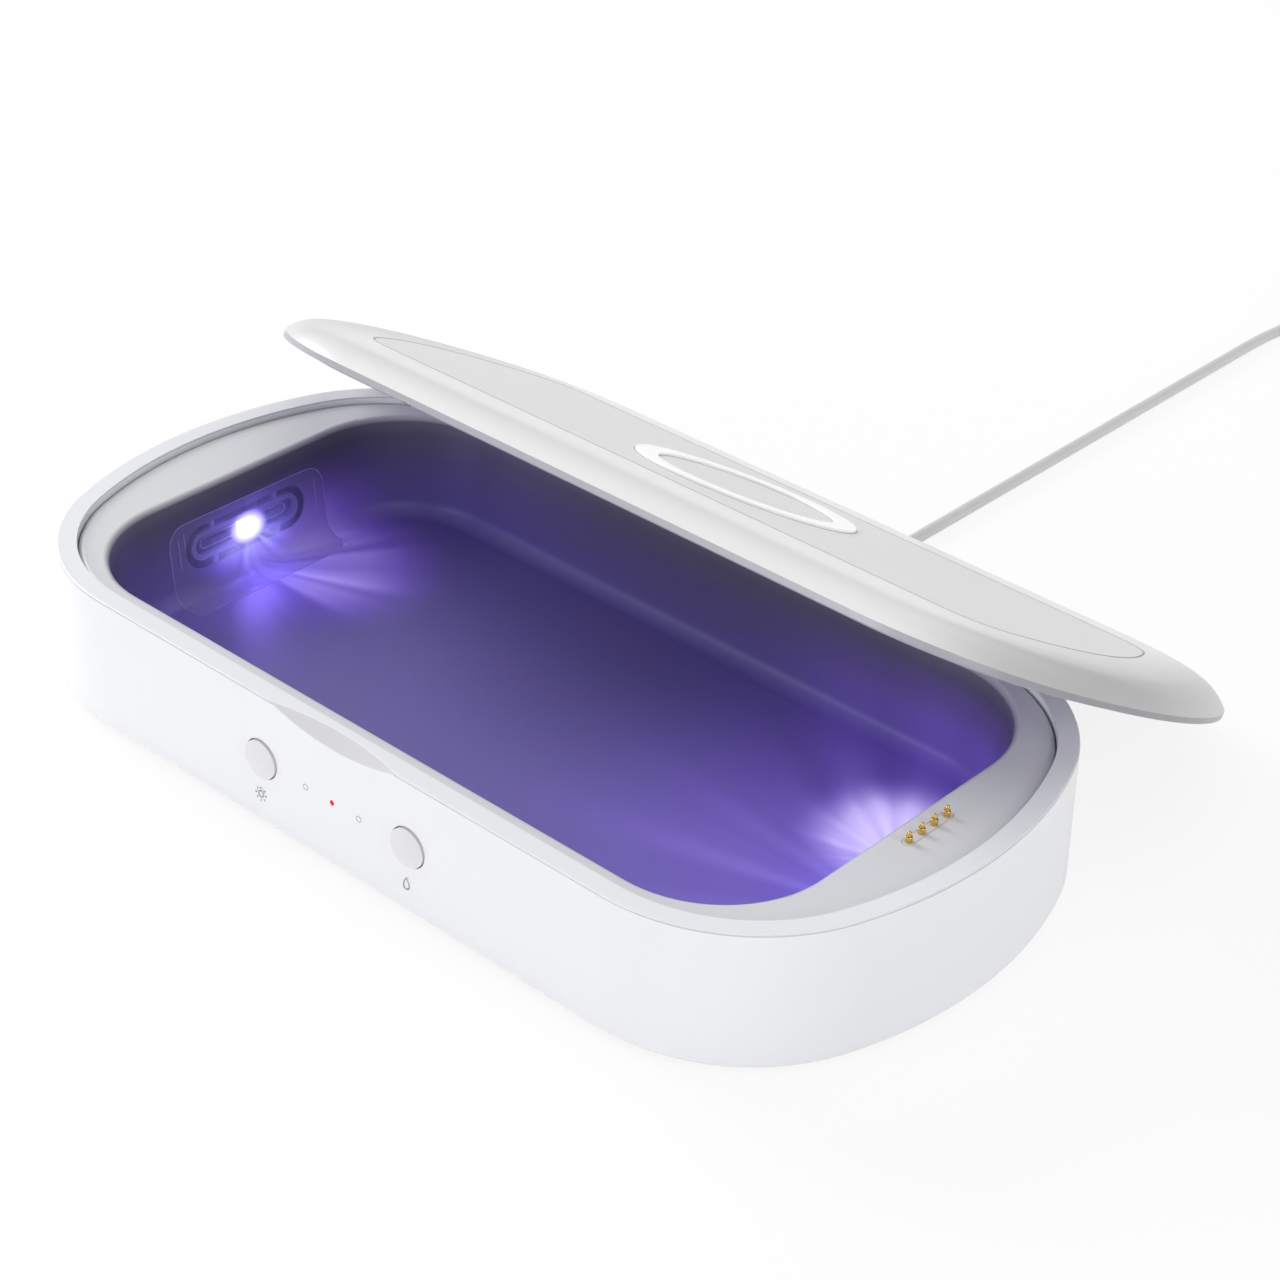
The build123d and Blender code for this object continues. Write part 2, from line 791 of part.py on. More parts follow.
def charging_coil():
    low = coil_roof - charge_coil_thickness
    return post(0, 0, charge_coil_outer, low, coil_roof) - post(0, 0, charge_coil_inner, low, coil_roof)


def ferrite_sheet():
    top = coil_roof - charge_coil_thickness
    return post(0, 0, ferrite_radius, top - ferrite_thickness, top)


def lid_board():
    span = (locator_seat, locator_seat + lid_board_thickness)
    body = block((-lid_board_length / 2, lid_board_length / 2), (-lid_board_width / 2, lid_board_width / 2), span)
    return body + block((0, contact_x + 2 * stud_radius), (-lid_board_arm / 2, lid_board_arm / 2), span)


def plug_face():
    return -front_face(port_z) + plug_gap


def plug_end():
    return plug_face() + plug_body_length + plug_relief_length


def plug_shell():
    tip = plug_face() - plug_tongue
    shell = rounded_bar(0, port_z, plug_shell_width, plug_shell_height, tip, plug_face())
    inner = (plug_shell_width - 2 * plug_shell_wall, plug_shell_height - 2 * plug_shell_wall)
    return shell - rounded_bar(0, port_z, *inner, tip, plug_face())


def plug_body():
    back = plug_face() + plug_body_length
    body = rounded_bar(0, port_z, plug_body_width, plug_body_height, plug_face(), back, plug_rounding)
    return body + relief(0, back, port_z, plug_relief_radius, plug_relief_length, 1)


def relief(x, y, z, radius, length, side):
    # A taper along Y that ends at the cord's own radius
    return Pos(x, y + side * length / 2, z) * Rot(-90 * side, 0, 0) * Cone(radius, cord_radius, length)


def tube(points):
    # Straight runs joined by arcs as large as their runs allow
    spots = [Vector(*point) for point in points]
    radii = []
    for before, here, after in zip(spots, spots[1:], spots[2:]):
        half_turn = radians((here - before).get_angle(after - here)) / 2
        radii.append(bend_share * min((here - before).length, (after - here).length) / tan(half_turn))
    path = FilletPolyline(*points, radius=radii)
    solid = sweep(Plane(path @ 0, z_dir=path % 0) * Circle(cord_radius), path)
    print("cord", round(path.length, 1), "mm, radii", [round(radius, 1) for radius in radii])
    print("volume", round(solid.volume, 1), "section x length", round(pi * cord_radius ** 2 * path.length, 1))
    return solid


def cord_lead():
    return tube([(0.0, plug_end(), port_z)] + lead_points)


def coil_centre():
    # The lead's last run touches the outermost turn, with the middle on its right
    start, end = Vector(*lead_points[-2]), Vector(*lead_points[-1])
    ahead = (end - start).normalized()
    return end + Vector(ahead.Y, -ahead.X, 0) * turn_radii[-1]


def cord_coil():
    middle = coil_centre()
    low = middle.Z - cord_radius
    high = low + 2 * cord_radius * turn_layers
    body = post(middle.X, middle.Y, turn_radii[-1] + cord_radius, low, high)
    body -= post(middle.X, middle.Y, turn_radii[0] - cord_radius, low, high)
    return fillet(body.edges(), coil_rounding)


def cord_tie():
    middle = coil_centre()
    low = middle.Z - cord_radius - tie_thickness
    high = low + 2 * cord_radius * turn_layers + 2 * tie_thickness
    half = tie_width / 2
    near = sqrt((turn_radii[0] - cord_radius) ** 2 - half ** 2) - tie_thickness
    far = turn_radii[-1] + cord_radius + tie_thickness
    strap = block((-half, half), (near, far), (low, high))
    inner = (near + tie_thickness, far - tie_thickness)
    strap -= block((-half, half), inner, (low + tie_thickness, high - tie_thickness))
    strap = fillet(strap.edges().filter_by(Axis.X), tie_rounding)
    return Pos(middle.X, middle.Y, 0) * strap


def tail_points():
    middle = coil_centre()
    x = middle.X + turn_radii[-1]
    top = middle.Z + 2 * cord_radius * (turn_layers - 1)
    z = far_plug_z()
    bend = (x + tail_sway, middle.Y - tail_run, z)
    return [(x, middle.Y, top), bend, (bend[0], bend[1] - tail_run, z)]


def cord_tail():
    return tube(tail_points())


def far_plug_z():
    return far_plug_height / 2 + cord_lift


def far_plug_body():
    x, y, z = tail_points()[-1]
    front = y - far_relief_length
    body = rounded_bar(x, z, far_plug_width, far_plug_height, front - far_plug_length, front, far_plug_rounding)
    return body + relief(x, front, z, far_relief_radius, far_relief_length, 1)


def far_plug_shell():
    x, y, z = tail_points()[-1]
    back = y - far_relief_length - far_plug_length
    shell = rounded_bar(x, z, far_shell_width, far_shell_height, back - far_shell_length, back, far_shell_rounding)
    inner = (far_shell_width - 2 * far_shell_wall, far_shell_height - 2 * far_shell_wall)
    return shell - rounded_bar(x, z, *inner, back - far_shell_length, back, far_shell_rounding / 3)


def base_pieces():
    pieces = {
        "base_housing": base_housing(),
        "inner_tray": inner_tray(),
        "tray_floor": tray_floor_panel(),
        "bottom_cover": bottom_cover(),
        "anti_slip_mat": anti_slip_mat(),
        "cover_screws": cover_screws(),
        "button_board": button_board(),
        "contact_block": contact_block(),
        "base_magnets": magnets(flange_z - base_magnet_thickness, base_magnet_thickness),
        "power_socket": power_socket(),
        "power_board": power_board(),
        "main_board": main_board(),
        "scent_holder": scent_holder(),
        "scent_pad": scent_pad(),
    }
    for name, side in (("left", -1), ("right", 1)):
        pieces["uv_window_" + name] = window(side)
        pieces["lamp_gasket_" + name] = lamp_gasket(side)
        pieces["lamp_bezel_" + name] = lamp_bezel(side)
        pieces["lamp_board_" + name] = lamp_board(side)
        pieces["uv_lamp_" + name] = lamp(side)
    for name, side in (("uv", -1), ("scent", 1)):
        pieces[name + "_button"] = button(side * button_spacing / 2)
        pieces[name + "_switch"] = tact_switch(side * button_spacing / 2)
    for name, step in (("left", -1), ("power", 0), ("right", 1)):
        pieces["light_pipe_" + name] = light_pipe(step * light_spacing)
    for number, place in enumerate(contact_places(), 1):
        pieces[f"contact_barrel_{number}"] = contact_barrel(*place)
        pieces[f"contact_plunger_{number}"] = contact_plunger(*place)
    return pieces


def lid_pieces():
    pieces = {
        "lid_shell": lid_shell(),
        "lid_top_plate": lid_top_plate(),
        "grip_ring": grip_ring(),
        "lid_underside": lid_underside(),
        "charging_coil": charging_coil(),
        "ferrite_sheet": ferrite_sheet(),
        "lid_board": lid_board(),
        "lid_magnets": magnets(locator_seat, lid_magnet_thickness),
    }
    for number, place in enumerate(contact_places(), 1):
        pieces[f"contact_stud_{number}"] = contact_stud(*place)
    return {name: lid_place * piece for name, piece in pieces.items()}


def cord_pieces():
    return {
        "plug_shell": plug_shell(),
        "plug_body": plug_body(),
        "cord_lead": cord_lead(),
        "cord_coil": cord_coil(),
        "cord_tie": cord_tie(),
        "cord_tail": cord_tail(),
        "far_plug_body": far_plug_body(),
        "far_plug_shell": far_plug_shell(),
    }


def main():
    os.makedirs("parts", exist_ok=True)
    for pieces in (base_pieces(), lid_pieces(), cord_pieces()):
        for name, piece in pieces.items():
            export_step(piece, f"parts/{name}.step")


if __name__ == "__main__":
    main()
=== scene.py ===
import math

import bmesh
import bpy
import numpy as np
from mathutils import Matrix


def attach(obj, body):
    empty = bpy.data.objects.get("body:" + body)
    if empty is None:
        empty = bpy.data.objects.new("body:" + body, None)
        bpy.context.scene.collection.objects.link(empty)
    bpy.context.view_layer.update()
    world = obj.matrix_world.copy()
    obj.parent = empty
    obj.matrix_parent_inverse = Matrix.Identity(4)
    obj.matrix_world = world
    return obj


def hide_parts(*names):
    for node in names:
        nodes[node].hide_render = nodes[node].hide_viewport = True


# Phone cleaning box with its lid leaning on the back. Metres, +Z up, the same frame as the solids:
# the origin is the middle of the mat's lower face, -Y is the front with the buttons.
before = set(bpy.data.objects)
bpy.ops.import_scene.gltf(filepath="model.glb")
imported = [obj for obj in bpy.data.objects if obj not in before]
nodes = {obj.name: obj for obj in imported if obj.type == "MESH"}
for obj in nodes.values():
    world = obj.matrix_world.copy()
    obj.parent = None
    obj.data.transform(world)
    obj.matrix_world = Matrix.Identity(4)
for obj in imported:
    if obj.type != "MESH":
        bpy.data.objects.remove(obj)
scene = bpy.context.scene
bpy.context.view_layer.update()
print("solids loaded:", len(nodes))


def setCamera(view):
    # Columns of the camera's matrix: right, up, back and place
    camera = bpy.data.objects.new("camera", bpy.data.cameras.new("camera"))
    scene.collection.objects.link(camera)
    right = np.array(view["right"]) / np.linalg.norm(view["right"])
    back = np.array(view["back"]) - right * np.dot(right, view["back"])
    back = back / np.linalg.norm(back)
    up = np.cross(back, right)
    rows = np.eye(4)
    rows[:3, :] = np.column_stack([right, up, back, view["place"]])
    camera.matrix_world = Matrix(rows.tolist())
    camera.data.sensor_width = view["sensor"]
    camera.data.lens = view["lens"]
    camera.data.clip_start = 0.01
    scene.camera = camera


setCamera({
    "place": (0.35560, -0.37781, 0.35568),
    "right": (0.73961, 0.67221, 0.03348),
    "back": (0.55534, -0.63761, 0.53390),
    "lens": 81.24,
    "sensor": 36.0,
})
print("camera set")


# Power cable: out of the plug, down to the table, straight back, then six turns kept by a tie
cable = {
    "radius": 0.0015,
    "lead": [
        (0.0, 0.0853755, 0.0095), (0.0, 0.0945, 0.0095), (0.0016, 0.1045, 0.0046), (0.0036, 0.1145, 0.0016),
        (0.0036, 0.1245, 0.0016), (0.0036, 0.2660, 0.0016), (0.0036, 0.2900, 0.0016),
    ],
    "coilMiddle": (0.029135, 0.309131),
    "coilStart": 168.0,                       # degrees, where the lead meets the outer turn
    "turnRadii": (0.021, 0.018, 0.015, 0.018, 0.021),
    "turnChanges": ((0.80, 1.00), (1.80, 2.00), (3.30, 3.55), (4.30, 4.55)),
    "layers": (0.0022, 0.0052),
    "layerChange": (2.55, 2.80),
    "turns": 5.4667,
    "pointsPerTurn": 24,
    "tail": [(0.050135, 0.3040, 0.0050), (0.050835, 0.298131, 0.0041), (0.050835, 0.287131, 0.0041)],
}


def easeStep(value, low, high):
    # 0 below low, 1 above high and a smooth S between
    share = np.clip((value - low) / (high - low), 0, 1)
    return share * share * (3 - 2 * share)


def coilPoints(style):
    # Circles one inside the other and then out again on top; the radius eases from turn to turn
    count = int(round(style["turns"] * style["pointsPerTurn"]))
    turn = np.linspace(0, style["turns"], count + 1)
    radius = np.full(turn.shape, style["turnRadii"][0])
    for before, after, change in zip(style["turnRadii"], style["turnRadii"][1:], style["turnChanges"]):
        radius += (after - before) * easeStep(turn, *change)
    radius /= math.cos(math.pi / style["pointsPerTurn"])    # the curve touches the sides of its points' polygon
    low, high = style["layers"]
    height = low + (high - low) * easeStep(turn, *style["layerChange"])
    angle = math.radians(style["coilStart"]) - turn * 2 * math.pi
    x = style["coilMiddle"][0] + radius * np.cos(angle)
    y = style["coilMiddle"][1] + radius * np.sin(angle)
    return np.column_stack([x, y, height])


def makeCable(style):
    # A round cord along a smooth curve led by the points of the lead, the coil and the tail
    points = np.vstack([style["lead"], coilPoints(style), style["tail"]])
    data = bpy.data.curves.new("powerCable", "CURVE")
    data.dimensions = "3D"
    data.bevel_depth = 1.0                    # times each point's radius, which also sets the curve's box
    data.bevel_resolution = 6
    data.resolution_u = 8
    data.use_fill_caps = True
    spline = data.splines.new("NURBS")
    spline.points.add(len(points) - 1)
    spline.points.foreach_set("co", np.column_stack([points, np.ones(len(points))]).ravel())
    spline.points.foreach_set("radius", np.full(len(points), style["radius"]))
    spline.order_u = 3
    spline.use_endpoint_u = True
    piece = bpy.data.objects.new("powerCable", data)
    scene.collection.objects.link(piece)
    return piece


powerCable = makeCable(cable)
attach(powerCable, "base")
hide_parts("cord_lead", "cord_coil", "cord_tail")
print("power cable laid")


def hexColour(text):
    # sRGB hex to the linear colour that a shader takes
    parts = np.array([int(text[i:i + 2], 16) for i in (1, 3, 5)]) / 255
    linear = np.where(parts <= 0.04045, parts / 12.92, ((parts + 0.055) / 1.055) ** 2.4)
    return (*linear.tolist(), 1.0)


def grain(millimetres):
    # Texture scale at which one feature is about this long
    return 1000.0 / millimetres


def addNode(tree, kind, settings):
    # Lower-case keys are the node's own settings, the others its inputs, by value or by link
    node = tree.nodes.new("ShaderNode" + kind)
    for key, value in settings.items():
        if isinstance(key, str) and key[0].islower():
            setattr(node, key, value)
        elif isinstance(value, bpy.types.NodeSocket):
            tree.links.new(value, node.inputs[key])
        else:
            node.inputs[key].default_value = value
    return node


def newFinish(name, settings):
    material = bpy.data.materials.new(name)
    material.use_nodes = True
    tree = material.node_tree
    tree.nodes.clear()
    shader = addNode(tree, "BsdfPrincipled", settings)
    addNode(tree, "OutputMaterial", {"Surface": shader.outputs["BSDF"]})
    place = addNode(tree, "TexCoord", {}).outputs["Object"]
    return material, tree, shader, place


def paintShadeBand(tree, place, colour, band):
    # Painted shade: another tone where the place along each axis is within half of the middle
    share = 1.0
    for axis, middle, half in band["where"]:
        along = addNode(tree, "VectorMath", {"operation": "DOT_PRODUCT", 0: place, 1: axis})
        inside = addNode(tree, "Math", {"operation": "COMPARE", 0: along.outputs["Value"], 1: middle, 2: half})
        share = addNode(tree, "Math", {"operation": "MULTIPLY", 0: inside.outputs["Value"], 1: share}).outputs["Value"]
    return addNode(tree, "Mix", {"data_type": "RGBA", 0: share, 6: colour, 7: hexColour(band["colour"])}).outputs[2]


def mouldedPlastic(name, style):
    # Faint cloudiness in the colour, sheen that drifts a little, and the mould's fine grain as bump. Real
    # grain is 0.05 to 0.2 mm wide; it is drawn several times coarser, so that it shows
    material, tree, shader, place = newFinish(name, {
        "IOR": style.get("ior", 1.53),
        "Coat Weight": style.get("coat", 0.0),
        "Coat Roughness": 0.12,
        # Emission where a style gives it is painted light: the part glows though it is no lamp
        "Emission Color": (1.0, 1.0, 1.0, 1.0),
        "Emission Strength": style.get("shine", 0.0),
    })
    cloud = addNode(tree, "TexNoise", {"Vector": place, "Scale": grain(style.get("cloud", 45.0)), "Detail": 3.0})
    colour = addNode(tree, "Mix", {
        "data_type": "RGBA", 0: cloud.outputs["Fac"], 6: hexColour(style["colour"]), 7: hexColour(style["shade"]),
    }).outputs[2]
    for band in style.get("shadeBands", []):
        colour = paintShadeBand(tree, place, colour, band)
    # Painted shade: the colour darkens towards both ends along x
    if "ends" in style:
        side = addNode(tree, "SeparateXYZ", {"Vector": place}).outputs["X"]
        side = addNode(tree, "Math", {"operation": "ABSOLUTE", 0: side}).outputs["Value"]
        share = addNode(tree, "MapRange", {"interpolation_type": "SMOOTHSTEP", "Value": side,
                                           "From Min": style["ends"]["start"], "From Max": style["ends"]["stop"]})
        colour = addNode(tree, "Mix", {"data_type": "RGBA", "blend_type": "MULTIPLY", 0: share.outputs["Result"],
                                       6: colour, 7: hexColour(style["ends"]["tone"])}).outputs[2]
    low, high = style["rough"]
    drift = addNode(tree, "TexNoise", {"Vector": place, "Scale": grain(12.0), "Detail": 4.0})
    rough = addNode(tree, "MapRange", {"Value": drift.outputs["Fac"], "From Min": 0.3, "From Max": 0.7,
                                       "To Min": low, "To Max": high})
    fine = addNode(tree, "TexNoise", {"Vector": place, "Scale": grain(style["grain"]), "Detail": 2.0})
    bump = addNode(tree, "Bump", {"Strength": style["bump"], "Distance": 0.0001, "Height": fine.outputs["Fac"]})
    tree.links.new(colour, shader.inputs["Base Color"])
    tree.links.new(rough.outputs["Result"], shader.inputs["Roughness"])
    tree.links.new(bump.outputs["Normal"], shader.inputs["Normal"])
    return material


def metalFinish(name, style):
    # Plated or drawn metal: fine lines along one axis make the sheen and the bump uneven. Real lines are
    # 0.05 mm apart; they are drawn at 0.4 mm, so that they show
    material, tree, shader, place = newFinish(name, {"Metallic": 1.0})
    lines = addNode(tree, "Mapping", {"Vector": place, "Scale": style["lines"]})
    brushed = addNode(tree, "TexNoise", {"Vector": lines.outputs["Vector"], "Scale": grain(0.4), "Detail": 3.0})
    colour = addNode(tree, "Mix", {
        "data_type": "RGBA", 0: brushed.outputs["Fac"], 6: hexColour(style["colour"]), 7: hexColour(style["shade"]),
    })
    low, high = style["rough"]
    rough = addNode(tree, "MapRange", {"Value": brushed.outputs["Fac"], "To Min": low, "To Max": high})
    bump = addNode(tree, "Bump", {"Strength": 0.15, "Distance": 0.00002, "Height": brushed.outputs["Fac"]})
    tree.links.new(colour.outputs[2], shader.inputs["Base Color"])
    tree.links.new(rough.outputs["Result"], shader.inputs["Roughness"])
    tree.links.new(bump.outputs["Normal"], shader.inputs["Normal"])
    return material


# Painted light and shade in the cavity: where the lamps are, and the heights between which its painted shade runs
glow = {
    "lamp": (0.0955, 0.0, 0.0153),            # the right lamp; the left one is its mirror image
    "ledge": 0.0303,
    "floor": 0.0052,
    "rays": 3.2,                              # light and dark rays per radian, about
}


def lampRays(tree, side, up, style):
    # Rays that fan out round the lamp: noise along the angle only, mostly between 0.25 and 0.70
    angle = addNode(tree, "Math", {"operation": "ARCTAN2", 0: side, 1: up})
    return addNode(tree, "TexNoise", {"noise_dimensions": "1D", "W": angle.outputs["Value"], "Scale": style["rays"],
                                      "Detail": 1.0}).outputs["Fac"]


def fadeFrom(tree, place, middle, reach, core):
    # 1 within core of the middle, 0 beyond reach, with a soft fall between
    away = addNode(tree, "VectorMath", {"operation": "DISTANCE", 0: place, 1: middle})
    return addNode(tree, "MapRange", {"interpolation_type": "SMOOTHERSTEP", "Value": away.outputs["Value"],
                                      "From Min": reach, "From Max": core}).outputs["Result"]


def trayFinish(name, style):
    # Colour by depth that is painted shade and light, dark under the ledge and bluer towards the floor, and painted
    # pools of light with soft rays that go from violet to nearly white where strong
    material, tree, shader, place = newFinish(name, {"IOR": 1.53})
    spot = addNode(tree, "SeparateXYZ", {"Vector": place})
    depth = addNode(tree, "MapRange", {"Value": spot.outputs["Z"], "From Min": glow["ledge"],
                                       "From Max": glow["floor"]})
    # Painted shade and light by depth: dark grey violet walls under the ledge, bluer towards the floor
    ramp = addNode(tree, "ValToRGB", {"Fac": depth.outputs["Result"]})
    depthShadeStops = style["depthShadeStops"]
    while len(ramp.color_ramp.elements) < len(depthShadeStops):
        ramp.color_ramp.elements.new(0.5)
    for element, (share, colour) in zip(ramp.color_ramp.elements, depthShadeStops):
        element.position = share
        element.color = hexColour(colour)
    cloud = addNode(tree, "TexNoise", {"Vector": place, "Scale": grain(style["cloud"]), "Detail": 3.0})
    darker, lighter = style["cloudTone"]
    tone = addNode(tree, "MapRange", {"Value": cloud.outputs["Fac"], "To Min": darker, "To Max": lighter})
    colour = addNode(tree, "VectorMath", {"operation": "SCALE", 0: ramp.outputs["Color"],
                                          "Scale": tone.outputs["Result"]})
    level = style["glowFar"]
    for pool in style["pools"]:
        fade = fadeFrom(tree, place, pool["middle"], pool["reach"], pool["core"])
        ahead = addNode(tree, "Math", {"operation": "SUBTRACT", 0: spot.outputs["X"], 1: pool["fan"][0]})
        aside = addNode(tree, "Math", {"operation": "SUBTRACT", 0: spot.outputs["Y"], 1: pool["fan"][1]})
        rays = addNode(tree, "MapRange", {
            "Value": lampRays(tree, aside.outputs["Value"], ahead.outputs["Value"], glow),
            "From Min": 0.3, "From Max": 0.7, "To Min": 1 - pool["rays"], "To Max": 1 + pool["rays"],
        })
        fade = addNode(tree, "Math", {"operation": "MULTIPLY", 0: fade, 1: rays.outputs["Result"]})
        level = addNode(tree, "Math", {"operation": "MULTIPLY_ADD", 0: fade.outputs["Value"], 1: pool["strength"],
                                       2: level}).outputs["Value"]
    dark, lit = style["litDepth"]
    inside = addNode(tree, "MapRange", {"Value": depth.outputs["Result"], "From Min": dark, "From Max": lit})
    shine = addNode(tree, "Math", {"operation": "MULTIPLY", 0: level, 1: inside.outputs["Result"]})
    weak, strong = style["poolLevel"]
    whiter = addNode(tree, "MapRange", {"Value": level, "From Min": weak, "From Max": strong})
    tint = addNode(tree, "Mix", {"data_type": "RGBA", 0: whiter.outputs["Result"], 6: hexColour(style["glowColour"]),
                                 7: hexColour(style["poolColour"])})
    fine = addNode(tree, "TexNoise", {"Vector": place, "Scale": grain(style["grain"]), "Detail": 2.0})
    bump = addNode(tree, "Bump", {"Strength": style["bump"], "Distance": 0.0001, "Height": fine.outputs["Fac"]})
    low, high = style["rough"]
    rough = addNode(tree, "MapRange", {"Value": cloud.outputs["Fac"], "To Min": low, "To Max": high})
    tree.links.new(colour.outputs["Vector"], shader.inputs["Base Color"])
    tree.links.new(rough.outputs["Result"], shader.inputs["Roughness"])
    tree.links.new(bump.outputs["Normal"], shader.inputs["Normal"])
    tree.links.new(tint.outputs[2], shader.inputs["Emission Color"])
    tree.links.new(shine.outputs["Value"], shader.inputs["Emission Strength"])
    return material


def addHalo(tree, shader, place, solid, style):
    # The sheet scatters the lamp behind it: a white core that fades, with rays that reach farther, most of
    # them downwards. Strength is divided by how solid the sheet is there, so a faint ray still shows
    spot = addNode(tree, "SeparateXYZ", {"Vector": place})
    across = addNode(tree, "Math", {"operation": "ABSOLUTE", 0: spot.outputs["X"]})
    above = addNode(tree, "Math", {"operation": "SUBTRACT", 0: spot.outputs["Z"], 1: glow["lamp"][2]})
    taller = addNode(tree, "Math", {"operation": "MULTIPLY_ADD", 0: above.outputs["Value"], 1: style["squash"],
                                    2: glow["lamp"][2]})
    folded = addNode(tree, "CombineXYZ", {"X": across.outputs["Value"], "Y": spot.outputs["Y"],
                                          "Z": taller.outputs["Value"]})
    core = fadeFrom(tree, folded.outputs["Vector"], glow["lamp"], style["core"], style["full"])
    far = fadeFrom(tree, folded.outputs["Vector"], glow["lamp"], style["reach"], style["full"])
    rays = lampRays(tree, spot.outputs["Y"], above.outputs["Value"], glow)
    faint, bright = style["rays"]
    fan = addNode(tree, "MapRange", {"Value": rays, "From Min": 0.25, "From Max": 0.70, "To Min": faint,
                                     "To Max": bright})
    upper, lower = style["turnDown"]
    below = addNode(tree, "MapRange", {"interpolation_type": "SMOOTHSTEP", "Value": above.outputs["Value"],
                                       "From Min": upper, "From Max": lower, "To Min": style["upShare"]})
    fan = addNode(tree, "Math", {"operation": "MULTIPLY", 0: fan.outputs["Result"], 1: below.outputs["Result"]})
    light = addNode(tree, "Math", {"operation": "MULTIPLY", 0: far, 1: fan.outputs["Value"]})
    light = addNode(tree, "Math", {"operation": "MAXIMUM", 0: light.outputs["Value"], 1: core})
    solid = addNode(tree, "Math", {"operation": "MAXIMUM", 0: light.outputs["Value"], 1: solid.outputs["Value"]})
    power = addNode(tree, "Math", {"operation": "DIVIDE", 0: light.outputs["Value"], 1: solid.outputs["Value"]})
    power = addNode(tree, "Math", {"operation": "MULTIPLY", 0: power.outputs["Value"], 1: style["strength"]})
    tint = addNode(tree, "Mix", {"data_type": "RGBA", 0: light.outputs["Value"], 6: hexColour(style["outer"]),
                                 7: hexColour(style["inner"])})
    tree.links.new(tint.outputs[2], shader.inputs["Emission Color"])
    tree.links.new(power.outputs["Value"], shader.inputs["Emission Strength"])
    return solid


def clearFinish(name, style):
    # See-through face on and more solid where it is seen edge on, with a cloudy haze of up to 6 %
    material, tree, shader, place = newFinish(name, {
        "Base Color": hexColour(style["colour"]), "IOR": style.get("ior", 1.49), "Roughness": style["rough"],
        "Emission Color": hexColour(style.get("glow", "#FFFFFF")), "Emission Strength": style.get("shine", 0.0),
    })
    facing = addNode(tree, "LayerWeight", {"Blend": 0.35})
    haze = addNode(tree, "TexNoise", {"Vector": place, "Scale": grain(9.0), "Detail": 3.0})
    low, high = style["solid"]
    edge = addNode(tree, "MapRange", {"Value": facing.outputs["Facing"], "To Min": low, "To Max": high})
    solid = addNode(tree, "Math", {"operation": "MULTIPLY_ADD", 0: haze.outputs["Fac"], 1: 0.06,
                                   2: edge.outputs["Result"]})
    if "halo" in style:
        solid = addHalo(tree, shader, place, solid, style["halo"])
    tree.links.new(solid.outputs["Value"], shader.inputs["Alpha"])
    return material


def circuitFinish(name, style):
    # Solder mask over copper: the tracks show as slightly raised, lighter lanes
    material, tree, shader, place = newFinish(name, {"IOR": 1.5, "Roughness": 0.38})
    lanes = addNode(tree, "TexBrick", {"Vector": place, "Scale": grain(9.0), "Mortar Size": 0.05, "Mortar Smooth": 0.1,
                                       "Color1": hexColour(style["colour"]), "Color2": hexColour(style["shade"]),
                                       "Mortar": hexColour(style["track"])})
    bump = addNode(tree, "Bump", {"Strength": 0.3, "Distance": 0.00005, "Height": lanes.outputs["Fac"]})
    tree.links.new(lanes.outputs["Color"], shader.inputs["Base Color"])
    tree.links.new(bump.outputs["Normal"], shader.inputs["Normal"])
    return material


# The leaning lid: the middle of its lower face and its own up and along directions
lidFrame = {
    "middle": (0.0, 0.0615512, 0.0332557),
    "up": (0.0, 0.475624, 0.879649),
    "along": (0.0, 0.879649, -0.475624),
    "low": 0.0585286,                         # its lower face, measured from the origin along up
    "top": 0.0062,                            # its top, measured from that face
}

